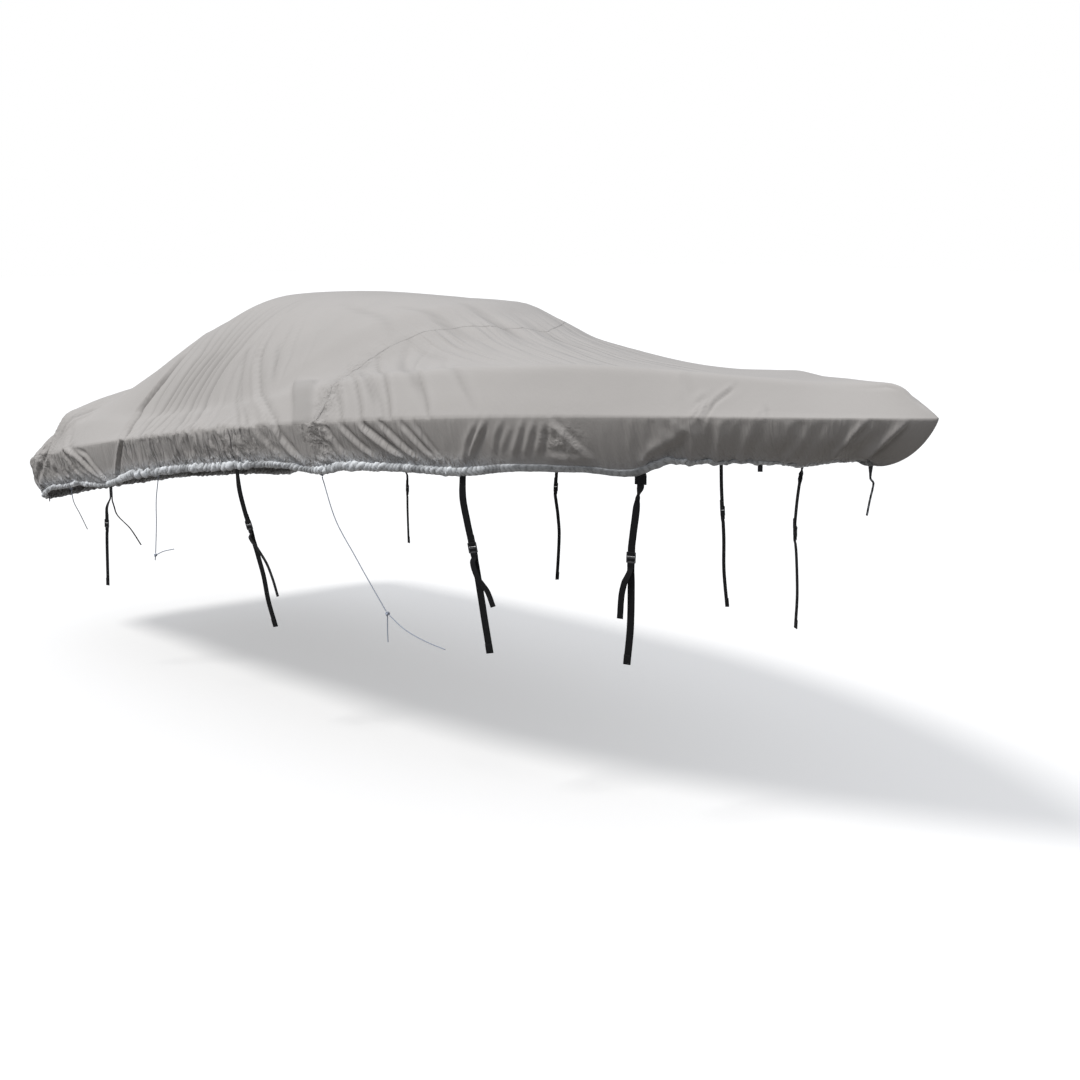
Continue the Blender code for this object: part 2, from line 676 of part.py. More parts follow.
def webbing_strap(row, side, with_tail):
    """Tab where there is one, upper webbing, buckle, lower webbing and free tail."""
    suffix = "starboard" if side == STARBOARD else "port"
    name = f"{row['name']}_%s_{suffix}"
    route = row["route"] if side == STARBOARD else mirrored(row["route"])
    seat, along, down = hem_frame(row["station"], side)
    top = seat + down * GAP
    spread = 0.0
    if row["tab"]:
        top = hem_tab(name % "tab", top, down, along, row["tab"], row["width"] * 1.6)
        down = DOWN
        if row["tail_from"] == "tab":
            spread = row["width"] * 0.8 / 2 + 0.0015
    forward = unit(along * (1, 1, 0))
    start = top - forward * spread
    line = np.array(led(start, down, LEAD, route))
    run = np.concatenate([[0], np.cumsum(np.linalg.norm(np.diff(line, axis=0), axis=1))])

    def at(distance):
        return np.array([np.interp(distance, run, line[:, axis]) for axis in range(3)])

    begin = at(row["buckle_from"] - BUCKLE_MARGIN)
    finish = at(row["buckle_from"] + BUCKLE_LENGTH + BUCKLE_MARGIN)
    axis = unit(finish - begin)
    upper = [p for p, d in zip(line, run) if d < row["buckle_from"] - BUCKLE_MARGIN * 1.5]
    width = row["width"] * (0.8 if spread else 1.0)
    ribbon(name % "webbing", upper + [begin, begin + axis * BUCKLE_MARGIN], along, width)
    centre = begin + axis * (BUCKLE_MARGIN + GAP + BUCKLE_LENGTH / 2)
    buckle(name % "buckle", centre, axis, along, width)
    wide = unit(along - axis * (axis @ along))
    outward = np.cross(wide, axis)
    if outward[1] * side < 0:
        outward = -outward
    below = centre + axis * (BUCKLE_LENGTH / 2 + GAP)
    ply = outward * (STRAP_THICKNESS / 2 + PLY_GAP)
    lower = [p for p, d in zip(line, run) if d > row["buckle_from"] + BUCKLE_LENGTH + BUCKLE_MARGIN * 1.5]
    ribbon(name % "lower_webbing", [below - ply, below - ply + axis * BUCKLE_MARGIN] + lower,
           along, width)
    if with_tail:
        from_tab = row["tail_from"] == "tab"
        first = top + forward * spread if from_tab else below + ply
        lead = DOWN if from_tab else axis
        sideways = unit(outward * (1, 1, 0))
        steps = np.array(row["tail"])
        tail = first + steps @ np.array([sideways, forward, DOWN])
        ribbon(name % "tail", led(first, lead, BUCKLE_MARGIN, tail), along, width * 0.85)


def tied_cord(row):
    """A knot under the hem, its cord, and where there is one an end knot with two tails."""
    seat, along, down = hem_frame(row["station"], STARBOARD)
    radius = row["knot"]
    centre = seat + down * (GAP + radius)
    knot(row["name"] + "_knot", centre, radius)
    first = centre + DOWN * (radius + GAP)
    line = led(first, DOWN, LEAD, row["runs"][0], row["radius"] * 6)
    cord(row["name"], line, row["radius"])
    if "end_knot" in row:
        axis = unit(line[-1] - line[-2])
        size = row["end_knot"]
        centre = line[-1] + axis * (size + GAP)
        knot(row["name"] + "_end_knot", centre, size)
        for number, tail in enumerate(row["tails"], start=1):
            lead = unit(np.array(tail[0]) - centre)
            first = centre + lead * (size + GAP)
            cord(f"{row['name']}_tail_{number}", through([first] + tail, row["radius"] * 6),
                 row["radius"])


def bow_tie():
    """Tab at the bow tip and the cord below it."""
    column = 0
    seat = POINTS[0, column] - NORMALS[0, column] * CLOTH / 2
    down = unit(POINTS[0, column] - POINTS[0, column + 1])
    top = seat + down * (GAP + 0.003)
    width = BOW_TAB["width"]
    across = np.array([0.0, 1.0, 0.0])
    end = top + DOWN * BOW_TAB["length"]
    ribbon("bow_tab", [top, (top + end) / 2, end], across, [width, width * 0.9, width * 0.5], 0.003)
    line = led(end + DOWN * GAP, DOWN, LEAD, BOW_CORD["route"], 0.03)
    cord("bow_cord", line, BOW_CORD["radius"], "webbing")


def hem_loops():
    for number, (station, width, length) in enumerate(zip(*LOOPS.values()), start=1):
        seat, along, down = hem_frame(station, STARBOARD)
        hem_tab(f"hem_loop_{number}", seat + down * GAP, down, along, length, width)


def main():
    for old in list(bpy.data.objects):
        bpy.data.objects.remove(old)
    frame = bpy.data.objects.new("hull_frame", None)
    frame.location = -Vector(ORIGIN)
    bpy.context.collection.objects.link(frame)
    cloth_panel("front_panel", 0, SEAM_RIB, 0.0, GAP / 2)
    cloth_panel("rear_panel", SEAM_RIB, len(RIBS) - 1, GAP / 2, 0.0)
    for row in STRAPS:
        webbing_strap(row, STARBOARD, with_tail=True)
        webbing_strap(row, PORT, with_tail=False)
    for row in CORDS:
        tied_cord(row)
    hem_loops()
    bow_tie()
    bpy.context.view_layer.update()


main()
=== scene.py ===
"""Looks of a fitted trailering cover for an open motor boat.

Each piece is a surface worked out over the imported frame: two cloth panels with their folds,
the gathered hem, the cross seam, the webbing ties with their buckles, and the thin cords.
Hull coordinates run x forward from the transom, y to port and z up from the gunwale at the
transom; ORIGIN takes them to the frame's own. A station is an x along the side, and past
STERN_TURN it counts metres round the stern corner. A level is -1 at the hem, 0 at the
gunwale and +1 at the ridge.
"""

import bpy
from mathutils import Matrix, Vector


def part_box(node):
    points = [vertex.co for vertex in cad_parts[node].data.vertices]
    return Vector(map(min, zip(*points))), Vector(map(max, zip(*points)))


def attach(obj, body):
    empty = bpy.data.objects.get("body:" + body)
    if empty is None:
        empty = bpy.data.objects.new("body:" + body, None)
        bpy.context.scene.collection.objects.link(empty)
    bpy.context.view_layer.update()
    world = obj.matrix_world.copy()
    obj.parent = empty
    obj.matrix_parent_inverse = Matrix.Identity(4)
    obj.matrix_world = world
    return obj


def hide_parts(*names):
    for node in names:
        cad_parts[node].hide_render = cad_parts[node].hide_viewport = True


bl_info = {
    "name": "Fitted Boat Cover",
    "version": (1, 0, 0),
    "blender": (4, 5, 0),
    "location": "3D View > Sidebar > Boat Cover",
    "description": "Cloth, hem, seam, ties and stage of a fitted boat cover",
    "category": "Add Mesh",
}

import math

import bmesh
import bpy
import numpy as np
from bpy.props import FloatProperty, FloatVectorProperty, PointerProperty
from mathutils import Matrix, Vector

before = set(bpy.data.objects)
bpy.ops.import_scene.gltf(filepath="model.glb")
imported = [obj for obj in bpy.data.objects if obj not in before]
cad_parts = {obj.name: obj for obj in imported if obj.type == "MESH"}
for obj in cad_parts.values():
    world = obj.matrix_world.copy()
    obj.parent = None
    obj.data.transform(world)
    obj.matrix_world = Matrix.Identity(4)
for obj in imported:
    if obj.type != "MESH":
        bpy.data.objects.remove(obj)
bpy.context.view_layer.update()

BODY = "root"
STARBOARD = -1
PORT = 1
SIDES = {"starboard": STARBOARD, "port": PORT}

# The hull-shaped base that the cloth lies on, as the solids have it
ORIGIN = np.array([2.60, 0.0, 1.036])
BOAT_LENGTH = 6.11
OVERHANG = 0.78
HALF_BEAM = 1.20
WIDEST = 0.362
BOW_POWER, BOW_FULLNESS = 1.818, 0.859
STERN_TAPER = 0.056
CORNER_POWER = 7.0
STERN_TURN = -0.60
SEAM_STATION = 3.13

# Pieces stand GAP apart, and a strap or cord leaves its seat straight for LEAD
GAP = 0.0003
LEAD = 0.006
DOWN = np.array([0.0, 0.0, -1.0])
SIDEWAYS = np.array([0.0, 1.0, 0.0])

# Gunwale: how it rises over the boat's length, flicks up at the tip and droops over the stern
SHEER_RISE, SHEER_SQUARE, SHEER_CUBE, SHEER_FLICK = 1.091, 0.283, 0.167, 0.02
STERN_DROOP, DROOP_FROM = 0.14, 0.12

# Top: the raised edge's width, the arch's start, where the starboard height passes to port, and
# the ridge's columns swept forward over the foredeck
EDGE_INSET, EDGE_EASE = 0.17, 0.18
ARCH_START = 0.16
PORT_BLEND = 0.25
SWEEP_FROM, SWEEP_OVER, SWEEP_END = 1.9, 1.0, 6.0

# Stations between which the cross seam's bend shifts the cloth, and the ease of its level
BEND_FROM, BEND_TO, BEND_FADE = 1.0, 5.0, 1.0
BEND_EASE = 0.10

# Webbing and buckles
STRAP_THICKNESS = 0.0018
BUCKLE_LENGTH = 0.050
BUCKLE_MARGIN = 0.020
BUCKLE_BAR, BUCKLE_RAIL = 0.008, 0.005
BUCKLE_WALL, BUCKLE_ROUND, BUCKLE_ARCH = 0.0042, 0.0011, 0.0016
PLY_GAP = 0.0014
TAB_WIDER, TAB_THICKNESS = 1.6, 0.003
TAIL_NARROWER = 0.85


def table(columns, rows):
    """A small table as one array for each named column."""
    return dict(zip(columns.split(), np.array(rows, float).T))


STATIONS = table("x ridge fullness rise_starboard rise_port", [
    (-0.78, -0.13, 4.0, 0.020, 0.020),
    (-0.60, -0.03, 4.0, 0.100, 0.100),
    (-0.40, 0.20, 3.0, 0.135, 0.135),
    (-0.20, 0.38, 2.4, 0.255, 0.255),
    (0.00, 0.49, 1.9, 0.185, 0.185),
    (0.35, 0.68, 1.9, 0.180, 0.180),
    (0.70, 0.845, 2.1, 0.150, 0.150),
    (1.00, 0.93, 2.3, 0.130, 0.130),
    (1.30, 1.02, 2.4, 0.120, 0.120),
    (2.00, 1.05, 2.6, 0.120, 0.120),
    (2.60, 1.04, 2.8, 0.160, 0.140),
    (3.10, 1.03, 3.0, 0.200, 0.165),
    (3.40, 0.955, 3.0, 0.220, 0.160),
    (3.70, 0.865, 2.8, 0.230, 0.170),
    (4.00, 0.82, 2.6, 0.240, 0.155),
    (4.40, 0.775, 2.4, 0.240, 0.135),
    (4.90, 0.76, 2.2, 0.210, 0.145),
    (5.40, 0.78, 2.2, 0.170, 0.110),
    (5.85, 0.79, 2.2, 0.130, 0.105),
    (6.11, 0.68, 2.2, 0.130, 0.140),
])
SPINE = table("station x", [
    (-1.85, -0.15),
    (0.00, 0.45),
    (0.60, 1.00),
    (3.13, 3.60),
    (5.50, 5.35),
    (6.11, 5.82),
])
SKIRT = table("station drop", [
    (-1.85, 0.190),
    (-1.05, 0.245),
    (-0.75, 0.280),
    (-0.60, 0.272),
    (-0.40, 0.235),
    (-0.10, 0.235),
    (0.00, 0.225),
    (0.30, 0.250),
    (0.60, 0.268),
    (0.85, 0.245),
    (1.10, 0.225),
    (1.80, 0.220),
    (2.29, 0.215),
    (2.70, 0.222),
    (3.05, 0.260),
    (3.24, 0.242),
    (3.60, 0.250),
    (3.99, 0.272),
    (4.30, 0.250),
    (4.60, 0.252),
    (4.85, 0.272),
    (5.06, 0.212),
    (5.45, 0.210),
    (5.62, 0.220),
    (5.85, 0.205),
    (6.11, 0.230),
])
TUCK = table("station inward curl", [
    (-1.85, 0.20, 1.4),
    (-1.05, 0.14, 1.3),
    (-0.60, 0.11, 1.2),
    (-0.10, 0.09, 1.2),
    (0.60, 0.07, 1.2),
    (3.10, 0.08, 1.2),
    (4.80, 0.11, 1.3),
    (5.40, 0.17, 1.5),
    (5.90, 0.27, 1.8),
    (6.11, 0.34, 1.9),
])
SEAM_BEND = table("level shift", [
    (0.00, 0.0),
    (0.10, -0.05),
    (0.20, -0.17),
    (0.33, -0.24),
    (0.50, -0.23),
    (0.65, -0.165),
    (0.80, -0.04),
    (1.00, 0.0),
])

# Main folds, as the solids have them: route over (station, level), height, half width and
# the lip on the forward side. A ridge falls gently aft, and a groove rises gently forward
FOLDS = [
    ([(0.52, 0.61), (0.75, 0.42), (0.80, 0.29), (0.76, 0.18), (0.91, 0.06), (1.02, 0.0)],
     0.024, 0.017, -0.030),
    ([(1.02, 0.0), (0.93, -0.28), (0.76, -0.87)], 0.016, 0.011, -0.012),
    ([(0.83, 0.60), (1.14, 0.35), (1.15, 0.10), (1.26, 0.0)], -0.018, 0.026, 0.010),
    ([(1.11, 0.61), (1.39, 0.35), (1.35, 0.21), (1.42, 0.0)], -0.017, 0.024, 0.010),
    ([(1.36, 0.63), (1.60, 0.34), (1.58, 0.18), (1.72, 0.0)], -0.016, 0.024, 0.009),
    ([(1.54, 0.68), (1.79, 0.36), (1.77, 0.18), (1.91, 0.0)], -0.014, 0.024, 0.008),
    ([(1.75, 0.57), (2.08, 0.34), (2.42, 0.15), (2.65, 0.05), (2.79, 0.0)], 0.021, 0.013, -0.013),
    ([(2.79, 0.0), (2.84, -0.31), (2.95, -0.74)], 0.020, 0.015, -0.010),
    ([(3.18, 0.25), (3.56, 0.02)], -0.014, 0.022, 0.008),
    ([(3.14, 0.50), (3.86, 0.03)], -0.011, 0.026, 0.006),
    ([(3.44, -0.03), (3.67, -0.68)], 0.017, 0.014, -0.012),
    ([(4.23, -0.03), (4.05, -0.76)], 0.016, 0.012, -0.007),
    ([(4.49, -0.03), (4.38, -0.67)], 0.011, 0.014, -0.003),
    ([(5.13, -0.26), (4.98, -0.69)], 0.010, 0.036, -0.006),
    ([(5.26, 0.0), (5.26, 0.12), (5.34, 0.25)], -0.002, 0.020, 0.002),
    ([(5.90, -0.13), (5.68, -0.92)], 0.020, 0.030, -0.006),
    ([(0.21, -0.10), (0.30, -0.49), (0.55, -0.85)], 0.009, 0.016, -0.006),
    ([(-0.26, 0.04), (-0.41, -0.33), (-0.60, -0.67)], -0.018, 0.028, 0.012),
]
PORT_FOLDS = [
    ([(0.70, 0.46), (0.86, 0.30), (0.98, 0.0)], -0.020, 0.060, 0.010),
    ([(0.98, 0.0), (0.80, -0.85)], -0.014, 0.050, 0.010),
    ([(1.30, 0.60), (1.48, 0.30), (1.60, 0.0)], -0.012, 0.060, 0.006),
    ([(1.95, 0.52), (2.35, 0.22), (2.70, 0.0)], 0.016, 0.060, -0.008),
    ([(3.20, 0.35), (3.62, 0.02)], -0.010, 0.060, 0.005),
    ([(3.55, 0.0), (3.78, -0.64)], 0.010, 0.050, -0.006),
    ([(4.32, 0.0), (4.14, -0.70)], 0.012, 0.055, -0.006),
    ([(5.30, 0.20), (5.24, -0.20)], -0.012, 0.060, 0.006),
    ([(5.88, -0.10), (5.70, -0.90)], 0.010, 0.060, -0.005),
]

# Creases and pulls too fine for the solids, laid in the same way
FINE_FOLDS = [
    # parallel creases on the aft arch
    ([(0.70, 0.60), (0.95, 0.38), (0.97, 0.20), (1.12, 0.02)], -0.011, 0.020, 0.007),
    ([(0.98, 0.62), (1.26, 0.36), (1.24, 0.16), (1.33, 0.0)], -0.012, 0.018, 0.008),
    ([(1.24, 0.62), (1.49, 0.36), (1.46, 0.18), (1.56, 0.0)], -0.012, 0.018, 0.008),
    ([(1.46, 0.66), (1.68, 0.38), (1.67, 0.16), (1.81, 0.0)], -0.010, 0.018, 0.007),
    ([(1.68, 0.62), (1.90, 0.38), (1.95, 0.20), (2.10, 0.0)], 0.007, 0.020, -0.004),
    # beside the long sweeping fold
    ([(1.83, 0.54), (2.02, 0.40), (2.16, 0.28), (2.46, 0.11), (2.72, 0.0)], 0.013, 0.014, -0.007),
    ([(1.75, 0.45), (1.95, 0.33), (2.22, 0.16), (2.55, 0.0)], -0.010, 0.016, 0.007),
    ([(2.05, 0.26), (2.15, 0.17), (2.47, 0.0)], -0.011, 0.015, 0.008),
    ([(2.18, 0.39), (2.36, 0.29), (2.50, 0.20)], -0.008, 0.018, 0.005),
    ([(2.72, 0.03), (2.80, -0.12), (2.86, -0.45), (2.97, -0.85)], 0.005, 0.014, -0.004),
    ([(2.60, 0.0), (2.66, -0.30), (2.80, -0.80)], 0.007, 0.020, -0.005),
    ([(2.01, 0.56), (2.23, 0.445), (2.46, 0.295), (2.56, 0.175)], 0.007, 0.014, -0.004),
    ([(2.05, 0.52), (2.28, 0.365), (2.45, 0.21)], -0.006, 0.016, 0.003),
    ([(2.35, 0.485), (2.57, 0.34), (2.68, 0.225)], 0.005, 0.016, -0.002),
    # pulls from the seam down to the gunwale
    ([(3.10, 0.16), (3.33, 0.0)], -0.013, 0.011, 0.011),
    ([(3.00, 0.31), (3.28, 0.14), (3.47, 0.0)], -0.015, 0.011, 0.012),
    ([(3.15, 0.37), (3.45, 0.18), (3.66, 0.0)], -0.015, 0.012, 0.012),
    ([(3.22, 0.24), (3.45, 0.10), (3.60, 0.0)], 0.009, 0.011, -0.006),
    ([(3.30, 0.52), (3.62, 0.24), (3.90, 0.0)], -0.010, 0.013, 0.007),
    ([(3.60, 0.42), (3.90, 0.20), (4.15, 0.02)], -0.007, 0.018, 0.005),
    # pulls in the skirt towards the shoulder strap
    ([(3.18, -0.03), (3.29, -0.70)], 0.013, 0.013, -0.010),
    ([(3.29, -0.03), (3.49, -0.70)], 0.014, 0.013, -0.011),
    ([(3.42, -0.03), (3.60, -0.45), (3.70, -0.68)], 0.010, 0.012, -0.006),
    ([(3.57, -0.03), (3.77, -0.70)], 0.015, 0.013, -0.012),
    ([(3.70, -0.03), (3.89, -0.72)], 0.014, 0.013, -0.011),
    ([(3.79, -0.03), (3.92, -0.72)], 0.010, 0.012, -0.007),
    ([(4.18, -0.03), (4.10, -0.35), (4.02, -0.80)], 0.011, 0.012, -0.006),
    ([(4.32, -0.03), (4.26, -0.30), (4.22, -0.62)], 0.009, 0.012, -0.003),
    ([(4.37, -0.10), (4.26, -0.59)], 0.006, 0.011, -0.002),
    ([(4.43, -0.03), (4.39, -0.28), (4.31, -0.70)], 0.010, 0.012, -0.003),
    ([(4.56, -0.03), (4.63, -0.30), (4.72, -0.67)], 0.012, 0.017, -0.003),
    ([(4.72, -0.60), (4.60, -0.66), (4.49, -0.60)], 0.009, 0.026, 0.0),
    ([(4.53, -0.06), (4.50, -0.35), (4.45, -0.62)], 0.009, 0.013, -0.006),
    ([(5.20, -0.10), (5.10, -0.40), (4.96, -0.72)], 0.008, 0.024, -0.004),
    # crumple where the foredeck begins
    ([(5.252, 0.095), (5.28, 0.17), (5.315, 0.26)], 0.0065, 0.009, -0.006),
    ([(5.262, 0.12), (5.258, 0.05), (5.252, -0.04)], 0.0080, 0.008, -0.007),
    ([(5.241, 0.105), (5.240, 0.04), (5.236, -0.02)], 0.0075, 0.008, -0.006),
    ([(5.220, 0.10), (5.218, 0.05), (5.214, 0.00)], 0.0065, 0.008, -0.005),
    ([(5.183, 0.11), (5.20, 0.15), (5.23, 0.17)], 0.0030, 0.011, -0.003),
    ([(5.04, 0.32), (5.07, 0.22), (5.145, 0.09)], 0.0035, 0.024, -0.002),
    ([(5.482, 0.10), (5.495, 0.05), (5.508, -0.02)], 0.0040, 0.010, -0.004),
    ([(5.47, 0.08), (5.475, 0.03), (5.48, -0.03)], 0.0035, 0.010, -0.003),
    ([(5.043, -0.42), (4.98, -0.62), (4.925, -0.82)], 0.010, 0.014, -0.006),
    # long soft slants and bright pulls round the bow
    ([(5.24, -0.10), (5.14, -0.92)], 0.010, 0.032, -0.003),
    ([(5.36, -0.10), (5.24, -0.94)], 0.009, 0.028, -0.003),
    ([(5.47, -0.08), (5.33, -0.95)], 0.011, 0.030, -0.003),
    ([(5.58, -0.10), (5.42, -0.95)], 0.011, 0.032, -0.003),
    ([(5.70, -0.12), (5.50, -0.95)], 0.012, 0.032, -0.003),
    ([(5.80, -0.10), (5.60, -0.92)], 0.014, 0.030, -0.004),
    ([(5.882, -0.03), (5.85, -0.16), (5.80, -0.42), (5.76, -0.66)], 0.024, 0.010, -0.008),
    ([(6.020, -0.03), (5.994, -0.15), (5.95, -0.42), (5.91, -0.68)], 0.036, 0.011, -0.012),
    ([(5.96, -0.33), (5.81, -0.95)], 0.014, 0.034, -0.004),
    ([(6.09, -0.10), (6.07, -0.64)], 0.006, 0.030, 0.0),
    # round the stern quarter
    ([(-0.15, 0.10), (0.0, 0.05), (0.14, -0.02), (0.345, -0.27), (0.455, -0.53), (0.62, -0.82)],
     0.024, 0.016, -0.012),
    ([(0.20, -0.02), (0.45, -0.22), (0.57, -0.61), (0.66, -0.88)], 0.017, 0.013, -0.008),
    ([(0.03, 0.03), (0.10, -0.22), (0.17, -0.52), (0.24, -0.70)], 0.015, 0.012, -0.008),
    ([(-0.06, 0.03), (-0.055, -0.28), (-0.03, -0.58), (0.03, -0.80)], 0.013, 0.012, -0.007),
    ([(-0.42, 0.14), (-0.30, 0.055), (-0.24, -0.03), (-0.33, -0.24)], -0.017, 0.018, 0.010),
    ([(-0.20, 0.28), (-0.18, 0.14), (-0.16, 0.02)], -0.008, 0.016, 0.006),
    ([(-0.42, 0.10), (-0.40, -0.10), (-0.36, -0.40)], 0.012, 0.016, -0.006),
    ([(-0.16, -0.20), (-0.18, -0.50), (-0.12, -0.88)], 0.011, 0.014, -0.008),
    ([(-0.62, 0.05), (-0.66, -0.35), (-0.60, -0.80)], 0.013, 0.019, -0.009),
]

# Soft waves on the windscreen slope: start and end seen from above, height and half width
WAVES = [
    ((2.91, -0.19), (3.73, -0.28), 0.007, 0.019),
    ((3.02, -0.13), (3.89, -0.25), -0.007, 0.020),
    ((3.09, -0.06), (3.97, -0.16), 0.007, 0.019),
    ((3.18, 0.00), (4.08, -0.06), -0.007, 0.020),
    ((2.87, -0.42), (3.47, -0.52), 0.007, 0.022),
    ((2.96, -0.34), (3.62, -0.42), -0.007, 0.022),
    ((3.05, -0.52), (3.70, -0.66), -0.005, 0.025),
    ((3.30, 0.10), (4.15, 0.08), 0.006, 0.022),
    ((3.15, 0.22), (4.00, 0.30), -0.005, 0.025),
    ((3.60, -0.36), (4.20, -0.50), 0.005, 0.025),
    ((2.15, -0.34), (3.14, -0.61), -0.005, 0.020),
    ((2.40, -0.34), (3.24, -0.49), 0.006, 0.018),
    ((2.60, -0.30), (3.47, -0.44), -0.006, 0.018),
    ((2.72, -0.21), (3.72, -0.40), 0.006, 0.018),
    ((2.86, -0.11), (3.81, -0.28), -0.006, 0.018),
]

# Pleats drawn in by the elastic: their height, spacing and how far their feet lie aft of their
# heads, with how lively the gathered hem is
GATHER = table("station height spacing lean ruffle", [
    (-1.85, 0.0070, 0.050, 0.00, 0.0110),
    (-0.60, 0.0112, 0.044, 0.00, 0.0130),
    (0.00, 0.0065, 0.044, -0.25, 0.0130),
    (0.40, 0.0040, 0.042, -0.15, 0.0130),
    (0.85, 0.0025, 0.042, 0.00, 0.0130),
    (1.10, 0.0160, 0.056, 0.00, 0.0140),
    (1.70, 0.0175, 0.058, -0.05, 0.0150),
    (2.50, 0.0140, 0.056, -0.12, 0.0150),
    (2.70, 0.0050, 0.050, -0.12, 0.0150),
    (2.95, 0.0040, 0.050, -0.12, 0.0150),
    (3.20, 0.0045, 0.055, -0.15, 0.0140),
    (3.80, 0.0030, 0.070, -0.12, 0.0140),
    (4.10, 0.0015, 0.080, 0.05, 0.0095),
    (4.30, 0.0015, 0.080, 0.15, 0.0025),
    (4.70, 0.0020, 0.085, 0.05, 0.0015),
    (5.10, 0.0080, 0.070, 0.12, 0.0045),
    (5.60, 0.0090, 0.075, 0.18, 0.0050),
    (6.11, 0.0020, 0.100, 0.10, 0.0020),
])

# Where each finer kind of wrinkle shows: middle and reach along the side, middle and reach in
# level, and strength
CRUMPLES = table("station along level up strength", [
    (-0.42, 0.34, -0.15, 0.42, 1.0),
    (-0.85, 0.30, -0.45, 0.40, 0.8),
    (0.10, 0.30, -0.40, 0.40, 0.6),
    (1.50, 0.50, -0.05, 0.16, 0.5),
    (2.30, 0.45, -0.45, 0.45, 0.8),
    (3.12, 0.10, -0.15, 0.50, 1.0),
    (4.60, 0.10, -0.35, 0.25, 0.8),
    (5.23, 0.05, 0.06, 0.07, 0.30),
])

# Ties along the starboard hem. A route starts at the hem and ends where the tie meets the
# trailer. A tail runs from its seat by (outward, forward, down). tab is the sewn loop's length,
# buckle_from how far down the tie its buckle sits, twists counts half turns, and yaw is the
# angle by which a starboard tie hangs turned toward the bow.
STRAPS = [
    dict(name="quarter", station=0.63, width=0.030, tab=0.054, buckle_from=0.150,
         twists=0, yaw=0.50,
         route=[(0.660, -1.130, -0.30), (0.655, -1.132, -0.42), (0.650, -1.135, -0.56),
                (0.650, -1.140, -0.78)],
         tail=[(0.000, 0.040, 0.080), (-0.080, 0.080, 0.200), (-0.130, 0.110, 0.300)],
         tail_from="tab"),
    dict(name="midship", station=2.29, width=0.032, tab=0.0, buckle_from=0.300,
         twists=0, yaw=0.36,
         route=[(2.325, -1.120, 0.04), (2.342, -1.100, -0.09), (2.362, -1.075, -0.21),
                (2.405, -1.060, -0.34), (2.436, -1.045, -0.46), (2.447, -1.030, -0.58),
                (2.469, -1.000, -0.73)],
         tail=[(0.010, 0.012, 0.040), (0.006, 0.080, 0.090), (-0.010, 0.150, 0.170),
               (-0.020, 0.190, 0.250), (-0.030, 0.220, 0.340)],
         tail_from="buckle"),
    dict(name="shoulder", station=3.99, width=0.038, tab=0.0, buckle_from=0.330,
         twists=0, yaw=0.16,
         route=[(4.018, -0.862, 0.18), (4.036, -0.850, 0.05), (4.058, -0.838, -0.06),
                (4.086, -0.825, -0.22), (4.106, -0.810, -0.38), (4.145, -0.800, -0.58)],
         tail=[(0.012, 0.004, 0.045), (0.020, 0.035, 0.105), (0.016, 0.095, 0.175),
               (0.012, 0.125, 0.245)],
         tail_from="buckle"),
    dict(name="bow_quarter", station=4.90, width=0.036, tab=0.036, buckle_from=0.315,
         twists=1, yaw=0.0,
         route=[(4.889, -0.533, 0.24), (4.876, -0.533, 0.16), (4.862, -0.536, 0.06),
                (4.853, -0.540, -0.04), (4.864, -0.545, -0.16), (4.870, -0.552, -0.34),
                (4.857, -0.560, -0.53)],
         tail=[(0.014, -0.002, 0.045), (0.026, -0.018, 0.085), (0.028, -0.032, 0.155),
               (0.028, -0.038, 0.255)],
         tail_from="buckle"),
]

# Thin cords: each runs from its knot at the hem, and its tails leave from its lower knot
CORDS = [
    dict(name="stern_cord", radius=0.0030, knot=0.014,
         route=[(-0.060, -1.035, -0.33), (-0.060, -0.990, -0.44), (-0.080, -0.935, -0.55)]),
    dict(name="thin_cord", radius=0.0030, knot=0.014,
         route=[(1.335, -1.125, -0.16), (1.345, -1.135, -0.30), (1.350, -1.150, -0.47)],
         end_knot=0.012,
         tails=[[(1.400, -1.120, -0.455), (1.450, -1.080, -0.440)],
                [(1.340, -1.150, -0.515)]]),
    dict(name="seam_cord", radius=0.0030, knot=0.014,
         route=[(3.155, -1.035, -0.03), (3.290, -1.000, -0.22), (3.400, -0.975, -0.36),
                (3.490, -0.955, -0.47)],
         end_knot=0.014,
         tails=[[(3.500, -0.955, -0.560), (3.510, -0.960, -0.625)],
                [(3.620, -0.930, -0.545), (3.760, -0.890, -0.590), (3.860, -0.860, -0.610)]]),
]

# Spare loops along the hem, and the tab and cord at the bow
LOOPS = table("station width length", [
    (-0.52, 0.022, 0.045),
    (5.42, 0.022, 0.035),
])
BOW_TAB_WIDTH = 0.030
BOW_CORD = dict(radius=0.0050, route=[(5.785, 0.0, 0.36), (5.768, 0.0, 0.28), (5.755, 0.0, 0.215)])


# Settings

